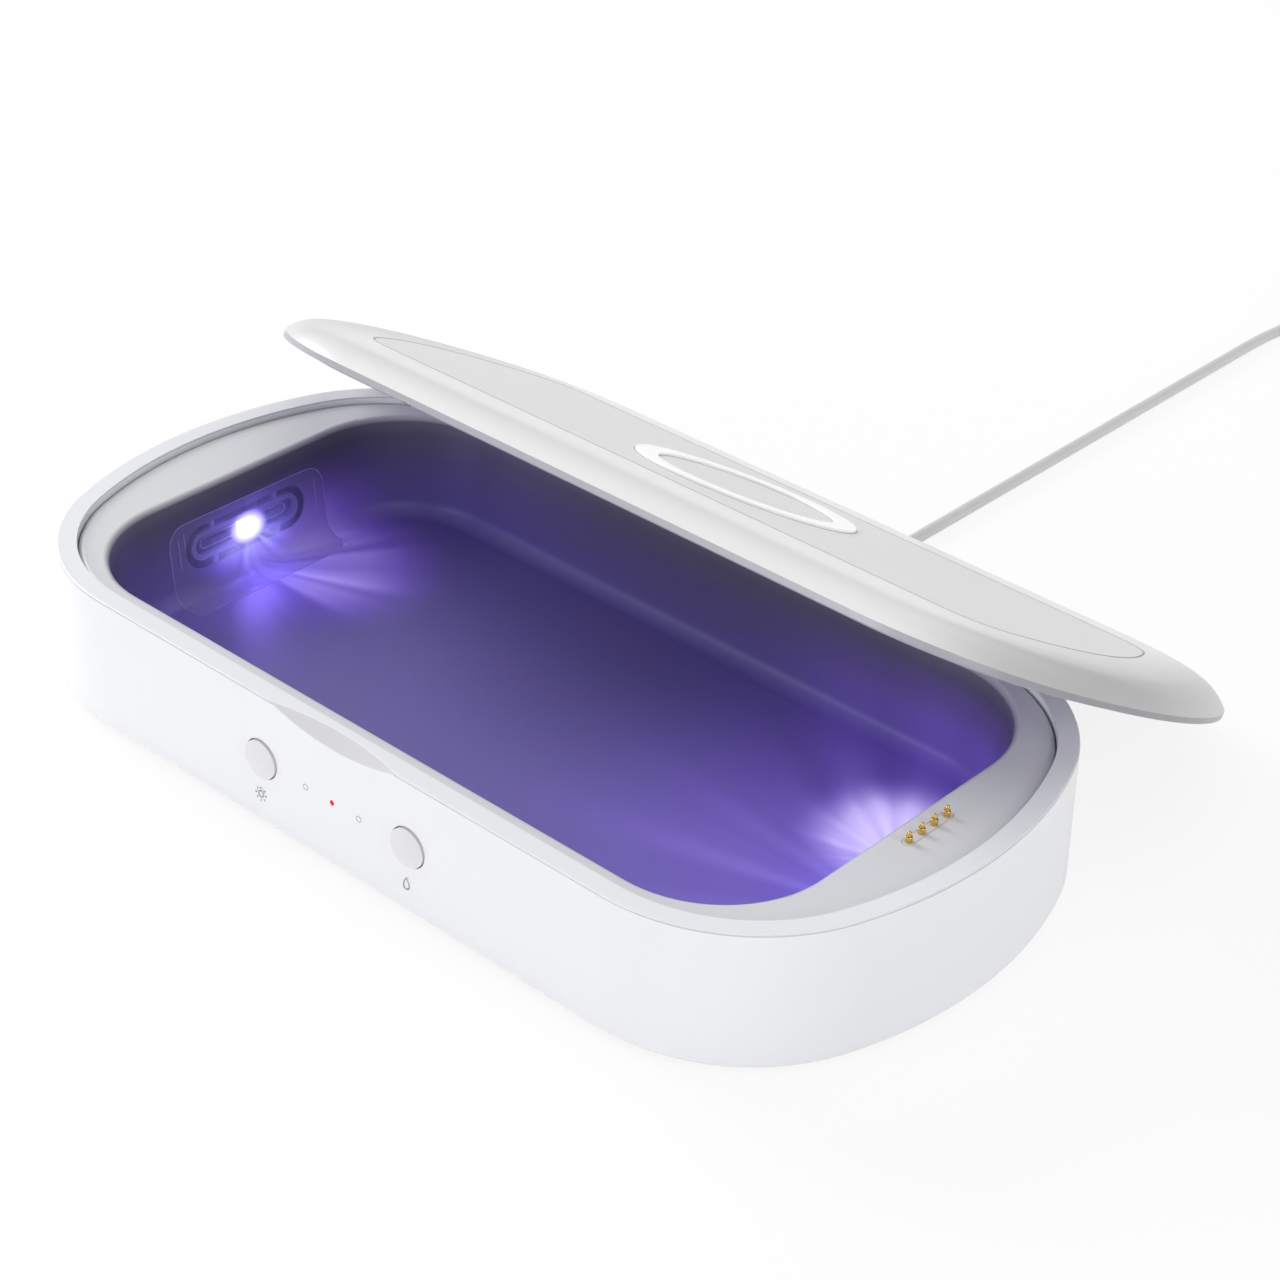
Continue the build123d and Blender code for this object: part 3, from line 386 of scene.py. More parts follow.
finishes = {
    # Gloss from a polished tool, soft reflections; two tones are painted shade: a fine grey line along the rim's outer
    # edge, and the darker scoop
    "housing": mouldedPlastic("ABS moulded, polished white", {
        "colour": "#F3F4F8", "shade": "#F0F1F5", "rough": (0.30, 0.33), "grain": 1.1, "bump": 0.012, "coat": 0.2,
        "shadeBands": [
            {"where": [((0.0, 0.0, 1.0), 0.03150, 0.00014)], "colour": "#CDCDD2"},
            {"where": [((1.0, 0.0, 0.0), 0.0, 0.0192), ((0.0, 1.0, 0.0), -0.0599, 0.0013),
                       ((0.0, 0.0, 1.0), 0.0300, 0.0017)], "colour": "#DADADE"},
        ]}),
    # Softer gloss than the base; painted shade turns the flange's side grey violet and the tips greyer
    "lid": mouldedPlastic("ABS moulded, satin white", {
        "colour": "#F1F1F2", "shade": "#EEEEEF", "rough": (0.30, 0.34), "grain": 1.1, "bump": 0.015, "coat": 0.12,
        "shadeBands": [{"where": [(lidFrame["up"], lidFrame["low"] + 0.0006, 0.00075)], "colour": "#B9B8BF"}],
        "ends": {"start": 0.080, "stop": 0.112, "tone": "#D6D6D6"}}),
    # Satin, with hardly any reflection; its grey violet is painted shade and the lamps' violet light on the underside
    "lidUnder": mouldedPlastic("ABS moulded, satin white under painted shade", {
        "colour": "#B9B7C2", "shade": "#B3B1BC", "rough": (0.38, 0.44), "grain": 1.0, "bump": 0.03}),
    # Even, matt sheen from a lightly sparked tool
    "lidPlate": mouldedPlastic("Polycarbonate moulded, fine spark grain", {
        "colour": "#EBEBEC", "shade": "#E8E8E9", "rough": (0.40, 0.46), "grain": 0.8, "bump": 0.03}),
    # Rough, orange-peel grain that hides scratches
    "cover": mouldedPlastic("ABS moulded, coarse spark grain", {
        "colour": "#DEDFE2", "shade": "#D6D7DA", "rough": (0.50, 0.62), "grain": 0.6, "bump": 0.35}),
    # A little warmer and duller than the wall round it
    "button": mouldedPlastic("ABS moulded, satin warm white", {
        "colour": "#E6E4E7", "shade": "#E3E1E4", "rough": (0.34, 0.38), "grain": 0.8, "bump": 0.02}),
    # Waxy off white
    "insert": mouldedPlastic("Nylon moulded, off white", {
        "colour": "#D9DADD", "shade": "#D2D3D6", "rough": (0.42, 0.52), "grain": 0.7, "bump": 0.10}),
    # Mid lilac, from the lamp's light on it
    "bezel": mouldedPlastic("Polycarbonate moulded, lilac grey", {
        "colour": "#8F86BC", "shade": "#8279B2", "rough": (0.30, 0.40), "grain": 0.8, "bump": 0.06}),
    # Near black with a dull sheen
    "darkPlastic": mouldedPlastic("Nylon moulded, black", {
        "colour": "#1B1B1E", "shade": "#242428", "rough": (0.40, 0.52), "grain": 0.5, "bump": 0.15}),
    # Soft white with a faint skin
    "plug": mouldedPlastic("PVC overmoulded, white", {
        "colour": "#E4E4E5", "shade": "#DCDCDE", "rough": (0.42, 0.52), "grain": 0.9, "bump": 0.15}),
    # Rubbery white, slightly uneven along its length
    "jacket": mouldedPlastic("TPE extruded jacket, white", {
        "colour": "#DCDCDD", "shade": "#D2D2D4", "rough": (0.40, 0.50), "grain": 1.1, "bump": 0.12, "cloud": 20.0}),
    # The brightest white, with no reflections; its faint white glow is painted light
    "ring": mouldedPlastic("Silicone moulded, bright white", {
        "colour": "#FBFBFB", "shade": "#F6F6F7", "rough": (0.45, 0.55), "grain": 0.5, "bump": 0.10, "ior": 1.41,
        "shine": 0.14}),
    # Painted shadow: a thin grey line between two whites, at the edges of the top plate and of the grip ring
    "shadeLine": mouldedPlastic("Painted shadow line, grey", {
        "colour": "#A9A9AD", "shade": "#A2A2A6", "rough": (0.50, 0.60), "grain": 0.5, "bump": 0.10}),
    # Pebbled grey; the grain is drawn coarser than it is, so that it shows
    "mat": mouldedPlastic("Silicone sheet, pebbled grey", {
        "colour": "#85878A", "shade": "#7B7D80", "rough": (0.62, 0.75), "grain": 1.4, "bump": 0.8, "ior": 1.41}),
    # Open cells that take in nearly all light
    "gasket": mouldedPlastic("Foam rubber, die cut", {
        "colour": "#1B1826", "shade": "#15131F", "rough": (0.75, 0.88), "grain": 0.5, "bump": 0.6}),
    # Black with a soft sheen
    "tie": mouldedPlastic("PVC strap, black", {
        "colour": "#202023", "shade": "#2A2A2E", "rough": (0.45, 0.58), "grain": 0.8, "bump": 0.3}),
    # Flat mid grey
    "ink": mouldedPlastic("Pad printed ink, grey", {
        "colour": "#75757A", "shade": "#6C6C72", "rough": (0.50, 0.60), "grain": 0.4, "bump": 0.1}),
    # Cream fibres, no sheen
    "felt": mouldedPlastic("Wool felt, pressed", {
        "colour": "#E4DAC6", "shade": "#CFC3AC", "rough": (0.88, 0.96), "grain": 0.35, "bump": 0.9, "cloud": 4.0}),
    # Dark, hard and faintly glossy
    "ferrite": mouldedPlastic("Ferrite, sintered", {
        "colour": "#2C2C2F", "shade": "#35353A", "rough": (0.45, 0.60), "grain": 0.6, "bump": 0.2}),
    # Warm and bright, with turning lines round the pins
    "gold": metalFinish("Brass turned, gold plated", {
        "colour": "#F0CF7C", "shade": "#D9AE4E", "rough": (0.14, 0.24), "lines": (0.3, 0.3, 6.0)}),
    # Cool grey, slightly cloudy
    "screwSteel": metalFinish("Steel, zinc plated", {
        "colour": "#B4B6BA", "shade": "#96989D", "rough": (0.26, 0.42), "lines": (1.0, 1.0, 1.0)}),
    # Satin steel, lines along the shell
    "connector": metalFinish("Stainless steel, drawn", {
        "colour": "#C9CACD", "shade": "#B0B2B6", "rough": (0.22, 0.36), "lines": (6.0, 0.4, 6.0)}),
    # Mirror-like, a little yellow
    "nickel": metalFinish("Magnet, nickel plated", {
        "colour": "#C7C6C2", "shade": "#B5B4B0", "rough": (0.14, 0.24), "lines": (1.0, 1.0, 1.0)}),
    # Orange red, lines along the turns
    "copper": metalFinish("Copper wire, wound flat", {
        "colour": "#C77B4A", "shade": "#9C5630", "rough": (0.28, 0.42), "lines": (2.0, 2.0, 0.3)}),
    # Dark green with lighter lanes; the lanes are drawn wider than real tracks
    "circuit": circuitFinish("Glass fibre board, green solder mask", {
        "colour": "#0F4A2A", "shade": "#125332", "track": "#2C7A4C"}),
    # Violet black, hardly any detail next to the lamp
    "lampBoard": circuitFinish("Aluminium board, black solder mask", {
        "colour": "#191527", "shade": "#1E1A2E", "track": "#2F294A"}),
    # Pale ledge, then painted shade and light: grey violet walls, darkest just under the ledge, a bluer floor in the
    # lamps' violet light, and two painted pools of light at each lamp
    "tray": trayFinish("ABS moulded, lit from inside", {
        "depthShadeStops": [(0.0, "#DCDDE0"), (0.012, "#BDBEC2"), (0.05, "#6C6A72"), (0.18, "#5A5766"), (0.42, "#5B5579"),
                  (0.70, "#635B8E"), (1.0, "#6F66A8")],
        "cloud": 30.0, "cloudTone": (0.97, 1.03), "rough": (0.38, 0.43), "grain": 0.7, "bump": 0.03,
        "glowFar": 0.006, "glowColour": "#8A5FF6", "poolColour": "#CDBEFF",
        "litDepth": (0.12, 0.65), "poolLevel": (0.16, 0.7),
        "pools": [
            {"middle": (-0.0955, 0.0, 0.0153), "reach": 0.055, "core": 0.008, "strength": 0.05,
             "fan": (-0.0955, 0.0), "rays": 0.5},
            {"middle": (-0.0820, 0.013, 0.0052), "reach": 0.034, "core": 0.002, "strength": 0.36,
             "fan": (-0.0960, 0.0), "rays": 0.35},
            {"middle": (0.0955, 0.0, 0.0153), "reach": 0.110, "core": 0.010, "strength": 0.25,
             "fan": (0.0955, 0.0), "rays": 0.3},
            {"middle": (0.0790, 0.0215, 0.0052), "reach": 0.025, "core": 0.001, "strength": 0.72,
             "fan": (0.0850, 0.0150), "rays": 0.22},
        ]}),
    # Clear face on, milky at a slant, and lit by the lamp behind it
    "window": clearFinish("PMMA sheet, polished", {
        "colour": "#A79DD6", "rough": 0.06, "solid": (0.04, 0.50),
        "halo": {"full": 0.0008, "core": 0.0078, "reach": 0.021, "squash": 1.35, "strength": 1.15,
                 "rays": (0.22, 0.5), "turnDown": (0.0030, -0.0060), "upShare": 0.25,
                 "inner": "#FAF8FF", "outer": "#6E5CFF"}}),
    # A cut edge gathers light and shows as a fine lilac line
    "windowEdge": clearFinish("PMMA edge, polished", {
        "colour": "#A79BDA", "rough": 0.10, "solid": (0.35, 0.9), "glow": "#A58CFF", "shine": 0.08}),
    # Burnt-out white with a violet cast
    "lampOn": clearFinish("Quartz lens over a lit lamp", {
        "colour": "#F4F0FF", "rough": 0.2, "solid": (1.0, 1.0), "glow": "#D9CCFF", "shine": 6.0}),
    # Milky white dots that barely stand out from the wall; the lights are off, and their faint white glow is painted
    # light
    "pipe": clearFinish("Polycarbonate light pipe, milky white", {
        "colour": "#F0F1F5", "rough": 0.25, "solid": (0.95, 1.0), "glow": "#FFFFFF", "shine": 0.05}),
    # A red dot that is lit; its low IOR keeps glare off the red
    "redPipe": clearFinish("Polycarbonate light pipe, lit red", {
        "colour": "#D0100A", "rough": 0.45, "solid": (1.0, 1.0), "ior": 1.15, "glow": "#FF0A04", "shine": 0.6}),
}

wears = {
    "housing": ["base_housing"],
    "lid": ["lid_shell"],
    "lidUnder": ["lid_underside"],
    "lidPlate": ["lid_top_plate"],
    "ring": ["grip_ring"],
    "tray": ["inner_tray", "tray_floor"],
    "cover": ["bottom_cover", "scent_holder"],
    "mat": ["anti_slip_mat"],
    "button": ["uv_button", "scent_button"],
    "insert": ["contact_block"],
    "bezel": ["lamp_bezel_left", "lamp_bezel_right"],
    "gasket": ["lamp_gasket_left", "lamp_gasket_right"],
    "lampBoard": ["lamp_board_left", "lamp_board_right"],
    "lampOn": ["uv_lamp_left", "uv_lamp_right"],
    "window": ["uv_window_left", "uv_window_right"],
    "pipe": ["light_pipe_left", "light_pipe_right"],
    "redPipe": ["light_pipe_power"],
    "darkPlastic": ["uv_switch", "scent_switch"],
    "gold": [f"contact_{part}_{number}" for part in ("barrel", "plunger", "stud") for number in range(1, 5)],
    "screwSteel": ["cover_screws"],
    "connector": ["power_socket", "plug_shell", "far_plug_shell"],
    "nickel": ["base_magnets", "lid_magnets"],
    "circuit": ["button_board", "power_board", "main_board", "lid_board"],
    "copper": ["charging_coil"],
    "ferrite": ["ferrite_sheet"],
    "felt": ["scent_pad"],
    "plug": ["plug_body", "far_plug_body"],
    "tie": ["cord_tie"],
}


def wear(piece, finish):
    piece.data.materials.clear()
    piece.data.materials.append(finishes[finish])


for finish, names in wears.items():
    for name in names:
        wear(nodes[name], finish)
wear(powerCable, "jacket")
print("finishes on", sum(len(names) for names in wears.values()), "solids")


sharpFrom = math.radians(35)                  # edges that turn more than this stay sharp


def gridPiece(name, points, body, finish, capEnds=False):
    # A closed surface from a grid of points, where each row is a ring. The last row joins the first one,
    # or with capEnds the first and the last row are closed with one face each
    rows, columns = points.shape[:2]
    index = np.arange(rows * columns).reshape(rows, columns)
    down = np.roll(index, -1, axis=0)
    if capEnds:
        index, down = index[:-1], down[:-1]
    quads = np.stack([index, np.roll(index, -1, axis=1), np.roll(down, -1, axis=1), down], axis=-1)
    faces = quads.reshape(-1, 4).tolist()
    if capEnds:
        faces += [list(range(columns))[::-1], list(range((rows - 1) * columns, rows * columns))]
    facesPiece(name, points.reshape(-1, 3), faces, body, finish)


def facesPiece(name, points, faces, body, finish):
    # A mesh whose faces point outwards, with its finish and the body that it rides
    data = bpy.data.meshes.new(name)
    data.from_pydata(np.asarray(points).tolist(), [], faces)
    shape = bmesh.new()
    shape.from_mesh(data)
    bmesh.ops.recalc_face_normals(shape, faces=shape.faces)
    shape.to_mesh(data)
    shape.free()
    data.shade_smooth()
    piece = bpy.data.objects.new(name, data)
    scene.collection.objects.link(piece)
    wear(piece, finish)
    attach(piece, body)
    return piece


def barsPiece(name, lows, highs, place, body, finish, bevel):
    # Every bar between its low and its high corner, in one mesh; place turns local points to the frame
    lows, highs = np.asarray(lows, float), np.asarray(highs, float)
    pick = np.array([(i & 1, i >> 1 & 1, i >> 2 & 1) for i in range(8)])
    points = lows[:, None, :] + pick[None] * (highs - lows)[:, None, :]
    sides = np.array([(0, 2, 3, 1), (4, 5, 7, 6), (0, 1, 5, 4), (2, 6, 7, 3), (0, 4, 6, 2), (1, 3, 7, 5)])
    faces = (np.arange(len(lows))[:, None, None] * 8 + sides[None]).reshape(-1, 4)
    piece = facesPiece(name, place(points.reshape(-1, 3)), faces.tolist(), body, finish)
    piece.data.set_sharp_from_angle(angle=sharpFrom)
    rounding = piece.modifiers.new("roundedEdges", "BEVEL")
    rounding.width = bevel
    rounding.segments = 2


def bandPoints(outer, inner, low, high):
    # Four rings of a flat band: the outer and the inner loop, each at the band's lower and upper height
    return np.stack([
        np.column_stack([loop, np.full(len(loop), height)])
        for loop, height in ((outer, low), (outer, high), (inner, high), (inner, low))
    ])


def circleLoop(radius, count):
    # (cos t, sin t) times radius, once round
    turn = np.linspace(0, 2 * math.pi, count, endpoint=False)
    return np.column_stack([np.cos(turn), np.sin(turn)]) * radius


# Printed marks under the two buttons, a sun for the lamps and a drop for the scent, and the fine dark
# line round each unlit side light
marks = {
    "spread": 0.0216,
    "height": 0.0076,
    "size": 0.0015,
    "line": 0.00022,
    "inset": 1.3,                             # how far in the smaller outline is, in line widths at size away
    "ink": 0.00003,
    "sunSize": 0.55,                          # the sun's circle and its rays' two ends, as shares of size
    "rayEnds": (0.82, 1.15),
    "rays": 8,
    "dropWidth": 0.85,
    "steps": 64,
    "rings": {"spread": 0.00785, "height": 0.0161, "size": 0.00072, "line": 0.00009, "inset": 1.3, "ink": 0.00002},
}
# The front wall's face: how far out it is at its top, and how much farther out at its foot
frontWall = {"away": 0.0613, "lean": 0.0008, "top": 0.0318, "height": 0.031}


def onFrontWall(points):
    # Local x along the wall, y up it and z out of it, by the wall's even slope
    share = (frontWall["top"] - points[..., 1]) / frontWall["height"]
    y = -(frontWall["away"] + frontWall["lean"] * share) - points[..., 2]
    return np.stack([points[..., 0], y, points[..., 1]], axis=-1)


def inkBand(name, outline, centre, style):
    # A closed line of ink: the outline and its smaller self, each at the wall and an ink's depth out
    inner = outline * (1 - style["line"] / style["size"] * style["inset"])
    points = bandPoints(outline + centre, inner + centre, 0.0, style["ink"])
    gridPiece(name, onFrontWall(points), "base", "ink")


def makeMarks(style):
    sun = circleLoop(style["size"] * style["sunSize"], style["steps"])
    inkBand("sunMark", sun, (-style["spread"], style["height"]), style)
    # Drop: up = cos t, across = sin t sin(t/2)^1.4, a point at the top and round below
    turn = np.linspace(0, 2 * math.pi, style["steps"], endpoint=False)
    drop = np.column_stack([np.sin(turn) * np.abs(np.sin(turn / 2)) ** 1.4 * style["dropWidth"], np.cos(turn)])
    drop = drop * style["size"]
    inkBand("dropMark", drop, (style["spread"], style["height"]), style)
    rings = style["rings"]
    circle = circleLoop(rings["size"], style["steps"])
    for name, side in (("Left", -1), ("Right", 1)):
        inkBand("lightRing" + name, circle, (side * rings["spread"], rings["height"]), rings)
    # Each ray is one thin bar, turned about the sun's middle
    ray = np.arange(style["rays"]) * 2 * math.pi / style["rays"]
    across = style["line"] / 2
    base = np.array([(sx * across, radius * style["size"]) for radius in style["rayEnds"] for sx in (-1, 1)])
    turned = np.stack([
        base[None, :, 0] * np.cos(ray)[:, None] - base[None, :, 1] * np.sin(ray)[:, None] - style["spread"],
        base[None, :, 0] * np.sin(ray)[:, None] + base[None, :, 1] * np.cos(ray)[:, None] + style["height"],
    ], axis=-1)
    points = np.stack([
        np.dstack([turned, np.full(turned.shape[:2], depth)]) for depth in (0.0, style["ink"])
    ], axis=1)
    sides = np.array([(0, 1, 3, 2), (4, 6, 7, 5), (0, 4, 5, 1), (2, 3, 7, 6), (0, 2, 6, 4), (1, 5, 7, 3)])
    faces = (np.arange(style["rays"])[:, None, None] * 8 + sides[None]).reshape(-1, 4)
    piece = facesPiece("sunRays", onFrontWall(points.reshape(-1, 3)), faces.tolist(), "base", "ink")
    piece.data.set_sharp_from_angle(angle=sharpFrom)


makeMarks(marks)
print("marks printed")


# Small parts of the lamp units, in each end wall's own frame: x up the wall, y along it, z out of it
lampParts = {
    "foot": 0.0944119,                        # from the middle plane to the foot of the end wall
    "floor": 0.0052,
    "lean": 6.0,                              # degrees
    "rise": 0.0102,                           # from the floor up the wall to the lamp
    "board": -0.0025,                         # the lamp board's face, behind the wall's
    "track": {"length": 0.0262, "width": 0.0030, "line": 0.0004, "height": 0.00025},
    "trackSteps": 72,
    "chips": [(0.0, 0.0062), (0.0, -0.0062), (0.0, 0.0088), (0.0, -0.0088)],    # up and along, from the lamp
    "chipSize": (0.0008, 0.0016, 0.0005),
    "ribs": [(-0.0207, 0.0075, 0.0150), (0.0207, 0.0075, 0.0150),               # along, low end, high end
             (-0.0190, 0.0040, 0.0062), (0.0190, 0.0125, 0.0160)],
    "ribWidth": 0.00022,
    "ribHeight": 0.00010,
    "ribSink": 0.00002,
    "chipBevel": 0.00008,
    "ribBevel": 0.00003,
    "sheet": {"half": 0.02345, "top": 0.01835, "corner": 0.0050, "bend": 0.0040, "foot": 0.0083,
              "line": 0.00022, "proud": 0.00005, "steps": {"end": 12, "side": 48, "corner": 16}},
}


def onEndWall(side, style):
    # Returns what turns points of the wall's frame to the object's frame
    slope = math.radians(style["lean"])
    up = np.array([side * math.sin(slope), 0.0, math.cos(slope)])
    out = np.array([-side * math.cos(slope), 0.0, math.sin(slope)])
    along = np.cross(out, up)
    start = np.array([side * style["foot"], 0.0, style["floor"]])
    return lambda points: start + points @ np.stack([up, along, out])


def stadiumLoop(length, width, count):
    # Two half circles joined by straight lines, long along y
    turn = np.linspace(0, 2 * math.pi, count, endpoint=False)
    return np.column_stack([np.sin(turn) * width / 2,
                            np.cos(turn) * width / 2 + np.sign(np.cos(turn)) * (length - width) / 2])


def onSheet(points, style):
    # The flat sheet bent over the wall's foot: height above the foot, place along the wall and out of it.
    # The bend turns by 90 degrees less the wall's lean, and its length is radius times angle
    sheet, lean = style["sheet"], math.radians(style["lean"])
    full = math.pi / 2 - lean
    tangent = sheet["bend"] * math.tan(full / 2)
    angle = np.clip((tangent - points[..., 0]) / sheet["bend"], 0, full)
    above = np.maximum(points[..., 0] - tangent, 0)
    over = np.maximum(tangent - sheet["bend"] * full - points[..., 0], 0)
    radius = sheet["bend"] - points[..., 2]
    up = tangent - radius * np.sin(angle) + above - over * math.sin(lean)
    out = sheet["bend"] - radius * np.cos(angle) + over * math.cos(lean)
    return np.stack([up, points[..., 1], out], axis=-1)


def sheetOutline(style, inset):
    # Half of the outline from the middle of the foot's end to the middle of the top, then its mirror image
    sheet, lean = style["sheet"], math.radians(style["lean"])
    full = math.pi / 2 - lean
    end = sheet["bend"] * (2 * math.tan(full / 2) - full) - sheet["foot"] + inset
    half, top, corner = sheet["half"] - inset, sheet["top"] - inset, sheet["corner"] - inset
    steps = sheet["steps"]
    turn = np.linspace(0, math.pi / 2, steps["corner"])[1:]
    side = np.column_stack([
        np.concatenate([np.full(steps["end"], end), np.linspace(end, top - corner, steps["side"]),
                        top - corner + corner * np.sin(turn), np.full(steps["end"] - 1, top)]),
        np.concatenate([np.linspace(0, half, steps["end"] + 1)[:-1], np.full(steps["side"], half),
                        half - corner + corner * np.cos(turn), np.linspace(half - corner, 0, steps["end"])[1:]]),
    ])
    return np.vstack([side, (side * [1, -1])[-2:0:-1]])


def makeSheetEdge(name, place, style):
    # A thin band along the sheet's outline, just proud of both faces
    sheet = style["sheet"]
    band = bandPoints(sheetOutline(style, 0.0), sheetOutline(style, sheet["line"]), -sheet["proud"], sheet["proud"])
    gridPiece("windowEdge" + name, place(onSheet(band, style)), "base", "windowEdge")


def makeLampParts(style):
    # On each board an oval track round the lamp with a row of chips, and fine ribs on each window
    for name, side in (("Left", -1), ("Right", 1)):
        place = onEndWall(side, style)
        track, rise = style["track"], (style["rise"], 0.0)
        outer, inner = (
            stadiumLoop(track["length"] - inset, track["width"] - inset, style["trackSteps"]) + rise
            for inset in (0.0, 2 * track["line"])
        )
        band = bandPoints(outer, inner, style["board"], style["board"] + track["height"])
        gridPiece("lampTrack" + name, place(band), "base", "bezel")
        middle = np.array([(style["rise"] + x, y, style["board"] + style["chipSize"][2] / 2)
                           for x, y in style["chips"]])
        half = np.array(style["chipSize"]) / 2
        barsPiece("boardChips" + name, middle - half, middle + half, place, "base", "darkPlastic",
                  style["chipBevel"])
        lows = [(low, y - style["ribWidth"] / 2, -style["ribSink"]) for y, low, high in style["ribs"]]
        highs = [(high, y + style["ribWidth"] / 2, style["ribHeight"]) for y, low, high in style["ribs"]]
        barsPiece("windowRibs" + name, lows, highs, place, "base", "windowEdge", style["ribBevel"])
        makeSheetEdge(name, place, style)


makeLampParts(lampParts)
print("lamp units detailed")


# Painted shadow lines on the lid's top: fine grey bands in the gap round the top plate, and along both sides of the
# grip ring
lidShadowLines = {
    "plate": {"length": 0.1952, "width": 0.0771, "corner": 0.0120, "end": 0.0757},
    "plateLine": (-0.00010, 0.00036),         # the line's two sides, inwards from the plate's edge
    "ringLines": [(0.02645, 0.02682), (0.02078, 0.02115)],
    "ringSteps": 160,
    "low": -0.00008,
    "proud": 0.00004,
}


def ovalLoop(sizes, inset, count=48):
    # Straight long sides, corner arcs and end arcs that meet without a kink: one quarter and its mirror images
    corner, end = sizes["corner"] - inset, sizes["end"] - inset
    endX = sizes["length"] / 2 - sizes["end"]
    cornerY = sizes["width"] / 2 - sizes["corner"]
    cornerX = endX + math.sqrt((sizes["end"] - sizes["corner"]) ** 2 - cornerY ** 2)
    meet = math.atan2(cornerY, cornerX - endX)
    first, second = np.linspace(0, meet, count), np.linspace(meet, math.pi / 2, count)[1:]
    quarter = np.vstack([
        np.column_stack([endX + end * np.cos(first), end * np.sin(first)]),
        np.column_stack([cornerX + corner * np.cos(second), cornerY + corner * np.sin(second)]),
    ])
    half = np.vstack([quarter, (quarter * [-1, 1])[::-1]])
    return np.vstack([half, (half * [1, -1])[-2:0:-1]])


def lidShadowLine(name, outer, inner, style):
    # Painted shadow line: a flat grey band from just below the lid's top to just above it, carried along the lid's own
    # directions
    band = bandPoints(outer, inner, lidFrame["top"] + style["low"], lidFrame["top"] + style["proud"])
    axes = np.stack([(1.0, 0.0, 0.0), lidFrame["along"], lidFrame["up"]])
    gridPiece(name, np.array(lidFrame["middle"]) + band @ axes, "lid", "shadeLine")


def makeLidShadowLines(style):
    outer, inner = (ovalLoop(style["plate"], inset) for inset in style["plateLine"])
    lidShadowLine("plateShadowLine", outer, inner, style)
    for name, (small, large) in zip(("ringOuterShadowLine", "ringInnerShadowLine"), style["ringLines"]):
        lidShadowLine(name, circleLoop(large, style["ringSteps"]), circleLoop(small, style["ringSteps"]), style)


makeLidShadowLines(lidShadowLines)
print("lid shadow lines laid")


# Far plug: the plastic tongue in its shell with four contacts, and the ridged reliefs at both plugs
plugParts = {
    "x": 0.050835,
    "mouth": 0.2451312,
    "back": 0.2571312,
    "tongue": {"half": 0.0055, "low": 0.00415, "high": 0.00595, "setBack": 0.0008, "bevel": 0.0002},
    "pads": {"places": [-0.0035, -0.00115, 0.00115, 0.0035], "half": 0.0005, "inset": 0.0016, "proud": 0.00012,
             "sink": 0.00002, "bevel": 0.00005},
    "reliefs": [
        {"name": "nearRelief", "x": 0.0, "z": 0.0095, "start": 0.0773755, "end": 0.0853755, "wide": 0.0026,
         "thin": 0.00155},
        {"name": "farRelief", "x": 0.050835, "z": 0.0041, "start": 0.2791312, "end": 0.2871312, "wide": 0.0024,
         "thin": 0.00155},
    ],
    "ridges": 4,
    "ridgeHeight": 0.00022,
    "ridgeFade": 0.5,                         # what the last ridge loses of its height, as a share
    "reliefProud": 0.00004,
    "reliefSteps": (65, 40),                  # along and round
}


def makePlugParts(style):
    tongue, pads = style["tongue"], style["pads"]
    barsPiece("plugTongue", [(style["x"] - tongue["half"], style["mouth"] + tongue["setBack"], tongue["low"])],
              [(style["x"] + tongue["half"], style["back"], tongue["high"])], np.asarray, "base", "plug",
              tongue["bevel"])
    lows = [(style["x"] + x - pads["half"], style["mouth"] + pads["inset"], tongue["low"] - pads["proud"])
            for x in pads["places"]]
    highs = [(style["x"] + x + pads["half"], style["back"] - pads["inset"], tongue["low"] + pads["sink"])
             for x in pads["places"]]
    barsPiece("plugPads", lows, highs, np.asarray, "base", "gold", pads["bevel"])
    for relief in style["reliefs"]:
        # Radius falls along the relief, with rounded ridges that fade towards the cable
        along, around = style["reliefSteps"]
        share = np.linspace(0, 1, along)[:, None]
        turn = np.linspace(0, 2 * math.pi, around, endpoint=False)[None, :]
        ridge = np.maximum(0, np.sin(share * style["ridges"] * 2 * math.pi)) ** 0.8 * style["ridgeHeight"]
        taper = relief["wide"] + (relief["thin"] - relief["wide"]) * share
        radius = taper + ridge * (1 - style["ridgeFade"] * share) + style["reliefProud"]
        y = relief["start"] + (relief["end"] - relief["start"]) * share + 0 * turn
        points = np.stack([relief["x"] + radius * np.cos(turn), y, relief["z"] + radius * np.sin(turn)], axis=-1)
        gridPiece(relief["name"], points, "base", "plug", capEnds=True)


makePlugParts(plugParts)
print("plugs detailed")


# Studio: a pale floor and broad soft lamps, and the two small lamps inside the cavity
studio = {
    "floorSize": 6.0,
    "floorDrop": 0.0001,
    "floorColour": "#FFFFFF",
    "floorWhite": 0.85,                       # share of the floor that shows plain white; the rest keeps shadows
    "worldLight": 0.285,
    "keys": [
        {"place": (-1.50, 0.10, 0.80), "aim": (0.0, 0.0, 0.0), "size": 1.0, "power": 20.0},
        {"place": (-0.50, -1.60, 0.30), "aim": (0.0, 0.0, 0.02), "size": 1.0, "power": 9.8},
        {"place": (1.20, -1.00, 0.40), "aim": (0.0, 0.0, 0.02), "size": 0.8, "power": 3.0},
        {"place": (1.50, 0.20, 0.70), "aim": (0.0, 0.0, 0.02), "size": 1.0, "power": 6.0},
        {"place": (0.10, 0.10, 1.60), "aim": (0.0, 0.05, 0.0), "size": 1.6, "power": 6.0},
        {"place": (0.0, 1.40, 0.90), "aim": (0.0, 0.0, 0.0), "size": 1.2, "power": 1.5},
    ],
    "uv": {"place": (0.0935, 0.0, 0.0165), "aim": (0.0, 0.0, 0.008), "size": 0.012, "power": 0.004,
           "colour": "#8A70FF"},
}


